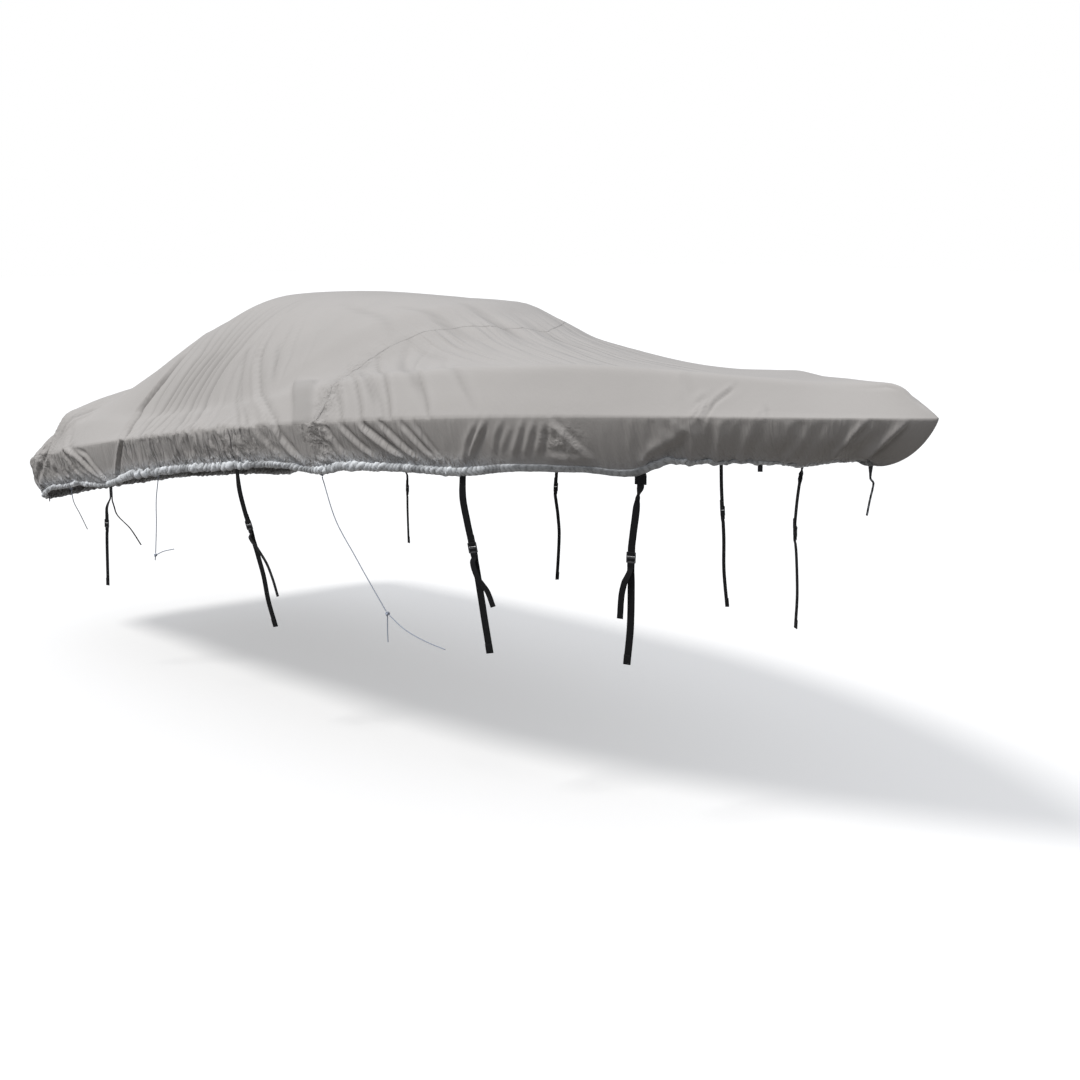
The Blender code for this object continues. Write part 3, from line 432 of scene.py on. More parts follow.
class CoverSettings(bpy.types.PropertyGroup):
    """Sizes and colours of the cover that a user may change."""

    cloth: FloatProperty(name="Cloth", description="Thickness of the coated polyester",
                         default=0.0015, unit="LENGTH")
    fold_scale: FloatProperty(name="Fine folds", description="Height of the fine folds, as a share",
                              default=1.0, min=0.0, max=2.0)
    hem_height: FloatProperty(name="Hem height", description="Height of the gathered hem casing",
                              default=0.046, unit="LENGTH")
    hem_thickness: FloatProperty(name="Hem thickness", description="Thickness of the gathered hem",
                                 default=0.028, unit="LENGTH")
    stitch: FloatProperty(name="Stitch pitch", description="Distance from stitch to stitch",
                          default=0.0075, unit="LENGTH")
    cloth_colour: FloatVectorProperty(name="Cloth", description="Warm grey of the cloth",
                                      default=(0.43, 0.412, 0.395), subtype="COLOR")
    hem_colour: FloatVectorProperty(name="Hem", description="Pale cool grey of the hem",
                                    default=(0.55, 0.57, 0.59), subtype="COLOR")
    webbing_colour: FloatVectorProperty(name="Webbing", description="Black of the webbing",
                                        default=(0.009, 0.009, 0.010), subtype="COLOR")
    cord_colour: FloatVectorProperty(name="Cord", description="Pale grey of the thin cords",
                                     default=(0.44, 0.48, 0.57), subtype="COLOR")


class StageSettings(bpy.types.PropertyGroup):
    """Light, floor and camera."""

    sun: FloatProperty(name="Key light", description="Strength of the key light",
                       default=2.15, min=0.0)
    sky: FloatProperty(name="Sky", description="Brightness of the soft light from above",
                       default=0.66, min=0.0)
    ground: FloatProperty(name="Ground", description="Brightness of the soft light from below",
                          default=0.14, min=0.0)
    floor_height: FloatProperty(name="Floor", description="Height of the floor",
                                default=-2.346, unit="LENGTH")
    lens: FloatProperty(name="Lens", description="Focal length of the camera",
                        default=56.67, unit="CAMERA")


def settings():
    """The cover's own settings."""
    return bpy.context.scene.boat_cover


# Curves and noise

def smooth(values, keys, column):
    """Monotone cubic through the table's points."""
    step = np.diff(keys)
    slope = np.diff(column) / step
    ease = np.zeros_like(column)
    rising = slope[:-1] * slope[1:] > 0
    before = np.where(rising, slope[:-1], 1.0)
    after = np.where(rising, slope[1:], 1.0)
    long_weight = 2 * step[1:] + step[:-1]
    short_weight = step[1:] + 2 * step[:-1]
    mean = (long_weight + short_weight) / (long_weight / before + short_weight / after)
    ease[1:-1] = np.where(rising, mean, 0.0)
    ease[0] = slope[0]
    ease[-1] = slope[-1]
    i = np.clip(np.searchsorted(keys, values, side="right") - 1, 0, len(keys) - 2)
    t = np.clip((values - keys[i]) / step[i], 0, 1)
    start = (1 + 2 * t) * (1 - t) ** 2 * column[i] + t * (1 - t) ** 2 * step[i] * ease[i]
    end = t * t * (3 - 2 * t) * column[i + 1] + t * t * (t - 1) * step[i] * ease[i + 1]
    return start + end


def read(values, name, at):
    """A table's column, read smoothly at places in its first column."""
    return smooth(at, next(iter(values.values())), values[name])


def smoothstep(t):
    """Rises from 0 to 1 as t does, level at both ends: 3 t squared less 2 t cubed."""
    t = np.clip(t, 0, 1)
    return t * t * (3 - 2 * t)


def unit(vectors):
    """Each vector over its own length."""
    return vectors / np.maximum(np.linalg.norm(vectors, axis=-1, keepdims=True), 1e-12)


LATTICE = np.random.default_rng(11).uniform(-1, 1, (32, 32, 32))


def rough(x, y, z):
    """Smooth noise from -1 to 1: a random value at each whole point, eased in between."""
    whole = [np.floor(c).astype(int) for c in (x, y, z)]
    part = [c - w for c, w in zip((x, y, z), whole)]
    ease = [p**3 * (p * (p * 6 - 15) + 10) for p in part]
    total = 0.0
    for corner in np.ndindex(2, 2, 2):
        weight = 1.0
        index = []
        for w, e, c in zip(whole, ease, corner):
            weight = weight * (e if c else 1 - e)
            index.append((w + c) & 31)
        total = total + weight * LATTICE[tuple(index)]
    return total


def ridged(x, y, z):
    """Noise with narrow crests, from 0 in its hollows to 1 along its crests."""
    return (1 - np.abs(rough(x, y, z))) ** 3


# The edge seen from above

def half_beam(x):
    """Half the width of the cover at x: widest aft of the middle, fine at the bow."""
    u = np.clip(x / BOAT_LENGTH, 0, 1)
    forward = np.clip((u - WIDEST) / (1 - WIDEST), 0, 1)
    aft = np.clip((WIDEST - u) / WIDEST, 0, 1)
    side = HALF_BEAM * (1 - forward**BOW_POWER) ** BOW_FULLNESS * (1 - STERN_TAPER * aft**2)
    over = np.clip(-x / OVERHANG, 0, 1)
    return side * (1 - over**CORNER_POWER) ** (1 / CORNER_POWER)


def starboard_outline(count=3000, packing=1.5):
    """Starboard edge from bow tip to transom centre, with its running length: the half beam
    along the side, its points packed toward the bow, then a rounded corner over the stern."""
    along = np.linspace(0, 1, count)
    turn = along * math.pi / 2
    side_x = BOAT_LENGTH * (1 - along**packing)
    stern_x = -OVERHANG * np.sin(turn) ** (2 / CORNER_POWER)
    stern_y = HALF_BEAM * (1 - STERN_TAPER) * np.cos(turn) ** (2 / CORNER_POWER)
    x = np.concatenate([side_x[:-1], stern_x])
    y = np.concatenate([half_beam(side_x)[:-1], stern_y])
    y[0] = 0.0
    y[-1] = 0.0
    girth = np.concatenate([[0], np.cumsum(np.hypot(np.diff(x), np.diff(y)))])
    return x, -y, girth


EDGE_X, EDGE_Y, EDGE_GIRTH = starboard_outline()
GIRTH = EDGE_GIRTH[-1]
TURN_GIRTH = np.interp(STERN_TURN, EDGE_X[::-1], EDGE_GIRTH[::-1])


def girth_at(station):
    """Running length round the edge, from the bow tip to a station."""
    on_side = np.interp(station, EDGE_X[::-1], EDGE_GIRTH[::-1])
    past_turn = np.minimum(TURN_GIRTH + (STERN_TURN - station), GIRTH)
    return np.where(np.asarray(station) >= STERN_TURN, on_side, past_turn)


def station_of(girth):
    """The station at a running length from the bow tip."""
    side = np.interp(girth, EDGE_GIRTH, EDGE_X)
    return np.where(girth <= TURN_GIRTH, side, STERN_TURN - (girth - TURN_GIRTH))


SEAM_GIRTH = float(girth_at(SEAM_STATION))


def sheer(x):
    """Height of the gunwale, rising to the bow and dropping over the stern."""
    u = np.clip(x / BOAT_LENGTH, 0, 1)
    aft = np.clip((DROOP_FROM - x) / (OVERHANG + DROOP_FROM), 0, 1)
    side = SHEER_RISE * u - SHEER_SQUARE * u**2 - SHEER_CUBE * u**3 + SHEER_FLICK * u**10
    return side - STERN_DROOP * aft**1.4


# The draped surface

def soft_limit(t, ease=EDGE_EASE):
    """t up to 1, then 1, with an eased corner."""
    inside = t - (1 - ease)
    eased = t - inside**2 / (4 * ease)
    return np.where(t < 1 - ease, t, np.where(t > 1 + ease, 1.0, eased))


def top_height(x, y, inward):
    """Raised edge inside the gunwale, and the arch from there to the ridge."""
    port_share = 0.5 + 0.5 * np.tanh(y / PORT_BLEND)
    rise_starboard = read(STATIONS, "rise_starboard", x)
    rise_port = read(STATIONS, "rise_port", x)
    rise = (1 - port_share) * rise_starboard + port_share * rise_port
    edge = sheer(x) + rise * soft_limit(inward / EDGE_INSET)
    across = np.clip(np.abs(y) / np.maximum(half_beam(x) - EDGE_INSET, 0.02), 0, 1)
    swept = np.minimum(x + y * y * smoothstep((x - SWEEP_FROM) / SWEEP_OVER), SWEEP_END)
    ridge = read(STATIONS, "ridge", swept)
    ridge = ridge + (sheer(x) - sheer(swept)) * (swept > x)
    fullness = read(STATIONS, "fullness", x)
    arch = (ridge - (sheer(x) + rise)) * (1 - across**fullness)
    return edge + arch * (1 - np.exp(-((inward / ARCH_START) ** 2)))


def drape(girth, level, side):
    """Points of the cover, in hull coordinates, before its folds are laid in: straight in from
    the edge to the spine and up to the top's height, or down the skirt, which curls inward."""
    edge_x = np.interp(girth, EDGE_GIRTH, EDGE_X)
    edge_y = np.interp(girth, EDGE_GIRTH, EDGE_Y)
    station = station_of(girth)
    spine_x = read(SPINE, "x", station)
    reach = np.maximum(np.hypot(edge_x - spine_x, edge_y), 1e-6)
    up = np.clip(level, 0, 1)
    bent = smoothstep((station - BEND_FROM) / BEND_FADE) * smoothstep((BEND_TO - station) / BEND_FADE)
    ease = np.minimum(BEND_EASE, np.minimum(up, 1 - up))
    shift = bent * sum(read(SEAM_BEND, "shift", up + ease * part) / 5
                       for part in (-1.0, -0.5, 0.0, 0.5, 1.0))
    top_x = edge_x + (spine_x - edge_x) * up + shift
    top_y = -side * edge_y * (1 - up)
    top_z = top_height(top_x, top_y, reach * up)
    down = np.clip(-level, 0, 1)
    drop = read(SKIRT, "drop", station)
    inward = read(TUCK, "inward", station) * down**1.25
    curl = read(TUCK, "curl", station)
    skirt_x = edge_x + (spine_x - edge_x) / reach * inward
    skirt_y = -side * (edge_y - edge_y / reach * inward)
    skirt_z = sheer(edge_x) - drop * (1 - (1 - down) ** curl)
    is_top = level >= 0
    return np.stack([np.where(is_top, top_x, skirt_x), np.where(is_top, top_y, skirt_y),
                     np.where(is_top, top_z, skirt_z)], axis=-1)


def drape_normal(girth, level, side, step=0.02, rise=0.05, fall=0.25):
    """Outward direction: the cross product of the ways along the edge and up the cloth.

    The steps up and down are wide, so that the direction turns slowly over the gunwale and
    a deep fold there doesn't run through itself.
    """
    ahead = drape(np.clip(girth + step, 0, GIRTH), level, side)
    behind = drape(np.clip(girth - step, 0, GIRTH), level, side)
    above = drape(girth, np.clip(level + rise, -1, 1), side)
    below = drape(girth, np.clip(level - fall * (level < rise) - rise * (level >= rise), -1, 1), side)
    return unit(np.cross(behind - ahead, above - below) * -side)


# Folds, gathers and crumples

def fold_line(route, side, steps=6):
    """A fold's route laid on the draped surface."""
    station, level = np.array(route, float).T
    at = np.linspace(0, len(route) - 1, steps * (len(route) - 1) + 1)
    index = np.arange(len(route))
    girth = np.interp(at, index, girth_at(station))
    return drape(girth, np.interp(at, index, level), side)


def beside(points, line):
    """Distance from the line to each point, negative aft of it, and how far along the line
    that is, from 0 to 1."""
    nearest = np.full(len(points), 9.0)
    forward = np.ones(len(points))
    share = np.zeros(len(points))
    for number, (start, end) in enumerate(zip(line[:-1], line[1:])):
        run = end - start
        t = np.clip((points - start) @ run / (run @ run), 0, 1)
        away = points - (start + t[:, None] * run)
        distance = np.linalg.norm(away, axis=-1)
        closer = distance < nearest
        nearest = np.where(closer, distance, nearest)
        forward = np.where(closer, np.where(away[:, 0] >= 0, 1.0, -1.0), forward)
        share = np.where(closer, (number + t) / (len(line) - 1), share)
    return nearest * forward, share


def end_fade(end_level, share, fade):
    """Swells from a fifth at a fold's end, unless the fold runs on over the gunwale there."""
    return 1.0 if end_level == 0.0 else 0.2 + 0.8 * smoothstep(share / fade)


def gunwale_fade(route, level, reach=0.02):
    """A fold of the top alone or of the skirt alone gives way at the gunwale."""
    levels = [at[1] for at in route]
    if max(levels) <= 0.0:
        return smoothstep((reach - level) / (2 * reach))
    if min(levels) >= 0.0:
        return smoothstep((reach + level) / (2 * reach))
    return 1.0


# A fold's profile in half widths: how far it is worked out, how wide its gentle and its steep
# side fall, where its lip stands; the rounding of its crest, and its fade at low and high ends
FOLD_REACH = 4.2
GENTLE_SIDE, STEEP_SIDE = 1.5, 0.72
LIP_PLACE = 1.6
CREST_ROUNDING = 0.005
FOLD_FADE, HIGH_FADE, HIGH_LEVEL = 0.25, 0.50, 0.4


def fold_relief(points, level, folds, side):
    """A bell across each fold's line, steeper on one side, and a lip beside it on the forward
    side, where e to the minus distance to the power 1.5 makes the bell."""
    height_share = level.reshape(-1)
    flat = points.reshape(-1, 3)
    total = np.zeros(len(flat))
    for route, height, width, lip in folds:
        line = fold_line(route, side)
        margin = FOLD_REACH * width
        near = np.all((flat > line.min(axis=0) - margin) & (flat < line.max(axis=0) + margin), axis=1)
        offset, share = beside(flat[near], line)
        falls = np.where(offset * height < 0, GENTLE_SIDE, STEEP_SIDE)
        across = np.sqrt(offset**2 + CREST_ROUNDING**2) / (width * falls)
        bell = height * np.exp(-(across**1.5)) + lip * np.exp(-((offset / width - LIP_PLACE) ** 2))
        head = end_fade(route[0][1], share, HIGH_FADE if route[0][1] > HIGH_LEVEL else FOLD_FADE)
        foot = end_fade(route[-1][1], 1 - share, FOLD_FADE)
        total[near] += bell * gunwale_fade(route, height_share[near]) * head * foot
    return total.reshape(points.shape[:-1])


def wave_relief(points, wander=0.02, head=0.45, foot=0.35):
    """A bell across each wave's line, seen from above, which wanders from side to side by a
    sine and fades at both of its ends."""
    relief = np.zeros(points.shape[:-1])
    for start, end, height, width in WAVES:
        start, end = np.array(start), np.array(end)
        run = end - start
        length = np.linalg.norm(run)
        offset = points[..., :2] - start
        along = offset @ run / length
        across = (offset @ np.array([-run[1], run[0]])) / length + wander * np.sin(along * 7)
        fade = smoothstep(along / head) * smoothstep((length - along) / foot)
        relief += height * np.exp(-((across / width) ** 2)) * fade
    return relief


def pleat_phase(girth, side):
    """Pleats counted round the hem from the bow, so that they carry on past the transom."""
    grid = np.linspace(0, GIRTH, 900)
    pace = 1 / read(GATHER, "spacing", station_of(grid))
    phase = np.concatenate([[0], np.cumsum((pace[1:] + pace[:-1]) / 2 * np.diff(grid))])
    here = np.interp(girth, grid, phase)
    return here if side == STARBOARD else 2 * phase[-1] - here


def around(girth, side):
    """Running length round the whole hem, from the bow down the starboard side."""
    return girth if side == STARBOARD else 2 * GIRTH - girth


# Pleats: how their pace wanders, coarse and fine; the broad swags' pace and both kinds' share;
# how far they reach over the gunwale amidships; and the girth over which they grow at the bow
PLEAT_WANDER, PLEAT_JITTER = 0.40, 0.25
SWAG_PACE, SWAG_SHARE = 0.37, 0.75
PLEAT_OVER, PLEAT_OVER_REACH = 0.6, 0.06
PLEAT_BOW_FADE = 0.40


def gather_relief(girth, level, side):
    """One minus the size of a sine of the pleat count, so its crests are sharp, with a
    wandering pace and height and a broader set of swags under it; it grows from the gunwale
    down to the hem."""
    station = station_of(girth)
    height = read(GATHER, "height", station)
    lean = read(GATHER, "lean", station)
    down = np.clip(-level, 0, 1)
    phase = pleat_phase(np.clip(girth - lean * down, 0, GIRTH), side)
    wobble = (PLEAT_WANDER * rough(phase / 2.7, level * 1.5, 4.5)
              + PLEAT_JITTER * rough(phase * 0.8, level * 3, 1.5))
    crest = 1 - np.abs(np.sin(math.pi * (phase + wobble)))
    broad = 1 - np.abs(np.sin(math.pi * (phase * SWAG_PACE + 1.7 * wobble)))
    crest = SWAG_SHARE * crest + SWAG_SHARE * broad - 0.15
    size = np.maximum(0.60 + 0.75 * rough(phase * 0.6, level * 1.3, 7.5), 0.05)
    grow = 0.40 * smoothstep((level + 0.02) / -0.08) + 0.60 * down
    amidships = smoothstep((station - 0.9) / 0.3) * smoothstep((2.9 - station) / 0.4)
    reach = np.exp(-((np.maximum(level, 0) / PLEAT_OVER_REACH) ** 2))
    above = amidships * PLEAT_OVER * reach * (level > 0)
    return (crest * size * 1.6 - 0.3) * height * (grow + above) * smoothstep(girth / PLEAT_BOW_FADE)


def crumple_amount(station, level):
    """How crumpled the cloth is, from 0 to 1."""
    amount = 0.0
    for middle, along, centre, up, strength in zip(*CRUMPLES.values()):
        spread = ((station - middle) / along) ** 2 + ((level - centre) / up) ** 2
        amount = np.maximum(amount, strength * np.exp(-spread))
    return amount


def crumple_relief(points, station, level, height=0.010):
    """Crossing ridged noise at two sizes where the cloth is bunched."""
    x, y, z = np.moveaxis(points, -1, 0)
    crossing = ridged(x / 0.085 + z * 3, y / 0.12, z / 0.085) + ridged(x / 0.05, y / 0.06 + 3, z / 0.07)
    return (crossing - 0.8) * height * crumple_amount(station, level)


# Puckers along the cross seam: their reach, the level up to which they are full, and what is
# left of them above it
PUCKER_REACH, PUCKER_POWER = 0.072, 1.6
PUCKER_FULL, PUCKER_FADE, PUCKER_LEFT = 0.26, 0.12, 0.10


def pucker_amount(girth, level):
    """How hard the cross seam draws the cloth: most low down, gone a hand's width away."""
    fade = np.exp(-(((level - PUCKER_FULL) / PUCKER_FADE) ** 2))
    climb = np.where(level < PUCKER_FULL, 1.0, PUCKER_LEFT + (1 - PUCKER_LEFT) * fade)
    return climb * np.exp(-((np.abs(girth - SEAM_GIRTH) / PUCKER_REACH) ** PUCKER_POWER))


def pucker_relief(points, girth, level, side, height=0.0165):
    """Short wrinkles square to the cross seam."""
    y, z = points[..., 1], points[..., 2]
    away = girth - SEAM_GIRTH
    wrinkle = ridged(y / 0.035 + z / 0.030 + side, away / 0.25 + 3.5, level * 2)
    return (wrinkle - 0.45) * height * pucker_amount(girth, level)


# A hard edge under the cloth: its level, its two ends, how far each end leans as it falls, and
# how much painted shade the material lays on the patch under it, by taking the patch to lie deeper
LEDGE_LEVEL = 0.19
LEDGE_AFT, LEDGE_AFT_LEAN = 2.70, 1.30
LEDGE_FORWARD, LEDGE_FORWARD_LEAN = 2.92, 1.00
LEDGE_SHADE = 0.007


def ledge_amount(station, level):
    """Where the cloth hangs from a hard edge under it: a leaning patch above the gunwale."""
    below = LEDGE_LEVEL - level
    aft = smoothstep((station - LEDGE_AFT - LEDGE_AFT_LEAN * below) / 0.015)
    ahead = smoothstep((LEDGE_FORWARD + LEDGE_FORWARD_LEAN * below - station) / 0.03)
    return aft * ahead * smoothstep((level + 0.02) / 0.03) * smoothstep(below / 0.008 + 1)


def ledge_relief(station, level, proud=0.020):
    """Proud along the hard edge, falling straight to the gunwale."""
    return proud * ledge_amount(station, level) * np.clip(0.2 + level / LEDGE_LEVEL, 0, 1)


def rounding(station, level, depth=0.034):
    """Draws the gunwale's edge in where the cloth turns the stern corner softly."""
    near = np.where(level > 0, level * 1.1, -level * 0.25)
    return -depth * smoothstep((0.02 - station) / 0.40) * np.exp(-((near / 0.055) ** 1.3))


def swell_relief(points, slow_height=0.0035, quick_height=0.0012):
    """Slow rise and fall of slack cloth, a few millimetres high."""
    x, y, z = np.moveaxis(points, -1, 0)
    slow = rough(x / 0.45, y / 0.38, z / 0.4 + 2)
    quick = rough(x / 0.17 + 5, y / 0.15, z / 0.15)
    return slow_height * slow + quick_height * quick


def port_copy(folds):
    """The fine folds again for the far side, moved along and made a little lower and wider."""
    return [([(s + 0.07 * math.sin(3 * s), v) for s, v in route], height * 0.8, width * 1.1, lip * 0.8)
            for route, height, width, lip in folds]


def cover(girth, level, side):
    """Finished points in the frame's coordinates, the outward normals, and how far the folds
    stand proud or lie low, which the material reads to paint shade into the hollows: the drape,
    moved along its normal by the sum of every relief."""
    girth, level = np.broadcast_arrays(girth, level)
    station = station_of(girth)
    points = drape(girth, level, side)
    normal = drape_normal(girth, level, side)
    off_centre = np.minimum(girth, GIRTH - girth)
    normal = np.where(off_centre[..., None] < 1e-9, unit(normal * (1, 0, 1)), normal)
    main = FOLDS if side == STARBOARD else PORT_FOLDS
    fine = FINE_FOLDS if side == STARBOARD else port_copy(FINE_FOLDS)
    folds = fold_relief(points, level, main, side)
    folds += fold_relief(points, level, fine, side) * settings().fold_scale
    folds += pucker_relief(points, girth, level, side)
    wrinkles = folds * smoothstep(off_centre / 0.25) * smoothstep((1 - level) / 0.15)
    gathers = gather_relief(girth, level, side)
    crumples = crumple_relief(points, station, level)
    if side == STARBOARD:
        crumples = crumples * (1 - ledge_amount(station, level))
    wrinkles += gathers + crumples
    wrinkles += wave_relief(points) * (level > 0)
    relief = wrinkles + swell_relief(points) + rounding(station, level)
    if side == STARBOARD:
        relief += ledge_relief(station, level)
        # Painted shade on the patch under the hard edge: its relief value is lowered, and the material
        # darkens it.
        wrinkles -= LEDGE_SHADE * ledge_amount(station, level)
    return points + normal * relief[..., None] - ORIGIN, normal, wrinkles - 0.5 * (crumples + gathers)


def wrinkle_masks(girth, level):
    """Where the material's finest wrinkles show: crumples, pleats, fans, waves and frills, where it
    paints highlights along the frills, and where it paints a cool reflection of the sky on the
    cloth beside the hem."""
    station = station_of(girth)

    def between(first, fade_in, last, fade_out):
        """One from the first station to the last, fading in and out."""
        return smoothstep((station - first) / fade_in) * smoothstep((last - station) / fade_out)

    crumple = np.maximum(crumple_amount(station, level), 1.2 * pucker_amount(girth, level))
    crumple = crumple * (1 - ledge_amount(station, level))
    height = read(GATHER, "height", station) / 0.006
    aft = 0.25 + 0.75 * smoothstep((4.6 - station) / 0.8)
    pleat = height * smoothstep((0.04 - level) / 0.10) * aft
    fan = between(0.75, 0.35, 2.7, 0.7) * smoothstep(level / 0.04) * smoothstep((0.75 - level) / 0.35)
    wave = between(2.7, 0.7, 5.2, 0.9) * smoothstep((level - 0.30) / 0.25)
    lively = read(GATHER, "ruffle", station) / 0.014
    frill = lively * smoothstep((-0.46 - level) / 0.40)
    # Painted reflection of the sky: a cool tint that grows towards the hem.
    cool = 0.35 * smoothstep((-0.60 - level) / 0.4)
    return dict(crumple=crumple, pleat=pleat, fan=fan, wave=wave, frill=frill, cool=cool)


# Meshes

def surface(name, points, wrap=False, caps=False, uv=None):
    """Quads over a grid of points; wrap closes each ring, caps closes both ends with a fan."""
    rows, columns = points.shape[:2]
    index = np.arange(rows * columns).reshape(rows, columns)
    vertices = points.reshape(-1, 3)
    if wrap:
        index = np.concatenate([index, index[:, :1]], axis=1)
    faces = grid_quads(index).tolist()
    if caps:
        middles = np.stack([points[0].mean(axis=0), points[-1].mean(axis=0)])
        first = len(vertices)
        vertices = np.concatenate([vertices, middles])
        ends = ((index[0], first, 1), (index[-1], first + 1, -1))
        for ring, middle, turn in ends:
            fan = np.stack([ring[:-1], ring[1:], np.full(len(ring) - 1, middle)], axis=-1)
            faces += fan[:, ::turn].tolist()
    mesh = made_mesh(name, vertices, faces)
    if uv is not None:
        flat = uv.reshape(-1, 2)
        set_uv(mesh, np.concatenate([flat, np.zeros((len(vertices) - len(flat), 2))]))
    return mesh


def grid_quads(index):
    """The four corners of each square of a grid of point numbers."""
    quads = np.stack([index[:-1, :-1], index[1:, :-1], index[1:, 1:], index[:-1, 1:]], axis=-1)
    return quads.reshape(-1, 4)


def set_uv(mesh, flat):
    """Gives each corner its point's place on the flat cloth."""
    corners = np.zeros(len(mesh.loops), int)
    mesh.loops.foreach_get("vertex_index", corners)
    layer = mesh.uv_layers.new(name="UVMap")
    layer.data.foreach_set("uv", flat[corners].astype(np.float32).ravel())


def made_mesh(name, points, faces):
    """A smooth mesh from an array of points and lists of corners."""
    mesh = bpy.data.meshes.new(name)
    mesh.from_pydata(points.reshape(-1, 3).tolist(), [], faces)
    mesh.shade_smooth()
    return mesh


def point_attribute(mesh, name, values):
    """Stores one value a point, for the materials."""
    attribute = mesh.attributes.new(name, "FLOAT", "POINT")
    attribute.data.foreach_set("value", np.asarray(values, np.float32).ravel())


def face_outward(mesh):
    """Turns a closed mesh right side out, told by the sign of its volume."""
    mesh.calc_loop_triangles()
    corners = np.zeros(len(mesh.loop_triangles) * 3, int)
    mesh.loop_triangles.foreach_get("vertices", corners)
    points = np.zeros(len(mesh.vertices) * 3)
    mesh.vertices.foreach_get("co", points)
    a, b, c = np.moveaxis(points.reshape(-1, 3)[corners.reshape(-1, 3)], 1, 0)
    if (a * np.cross(b, c)).sum() < 0:
        mesh.flip_normals()
    return mesh


def add_piece(name, mesh, look, slot, *nodes):
    """Links a piece, gives it its finish, and lets it ride and stand for its CAD nodes."""
    piece = bpy.data.objects.new(name, mesh)
    bpy.context.collection.objects.link(piece)
    mesh.materials.append(look)
    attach(piece, BODY)
    if nodes:
        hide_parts(*nodes)
    return piece


def joined(meshes, name):
    """Several meshes as one, their materials aside."""
    whole = bmesh.new()
    for mesh in meshes:
        whole.from_mesh(mesh)
    made = bpy.data.meshes.new(name)
    whole.to_mesh(made)
    whole.free()
    made.shade_smooth()
    return made


def tangents(line):
    """Unit directions along a line."""
    tangent = np.gradient(line, axis=0)
    tangent[0] = line[1] - line[0]
    tangent[-1] = line[-1] - line[-2]
    return unit(tangent)


def ways(line, across):
    """Unit directions square to a line: one as near as can be to across, and one square to it."""
    tangent = tangents(line)
    wide = unit(across - tangent * (tangent @ across)[:, None])
    return wide, np.cross(tangent, wide)


def run_length(line):
    """Distance along a line to each of its points."""
    return np.concatenate([[0], np.cumsum(np.linalg.norm(np.diff(line, axis=0), axis=1))])


def read_off(at, run, values):
    """Places or directions at given distances along a line, straight from point to point."""
    return np.stack([np.interp(at, run, values[:, axis]) for axis in range(3)], axis=-1)


def even(line, spacing):
    """A line's points again, at even steps on a smooth curve."""
    length = run_length(line)
    count = max(int(round(length[-1] / spacing)), 2)
    at = np.linspace(0, length[-1], count + 1)
    return np.stack([smooth(at, length, line[:, axis]) for axis in range(3)], axis=-1)


# Materials

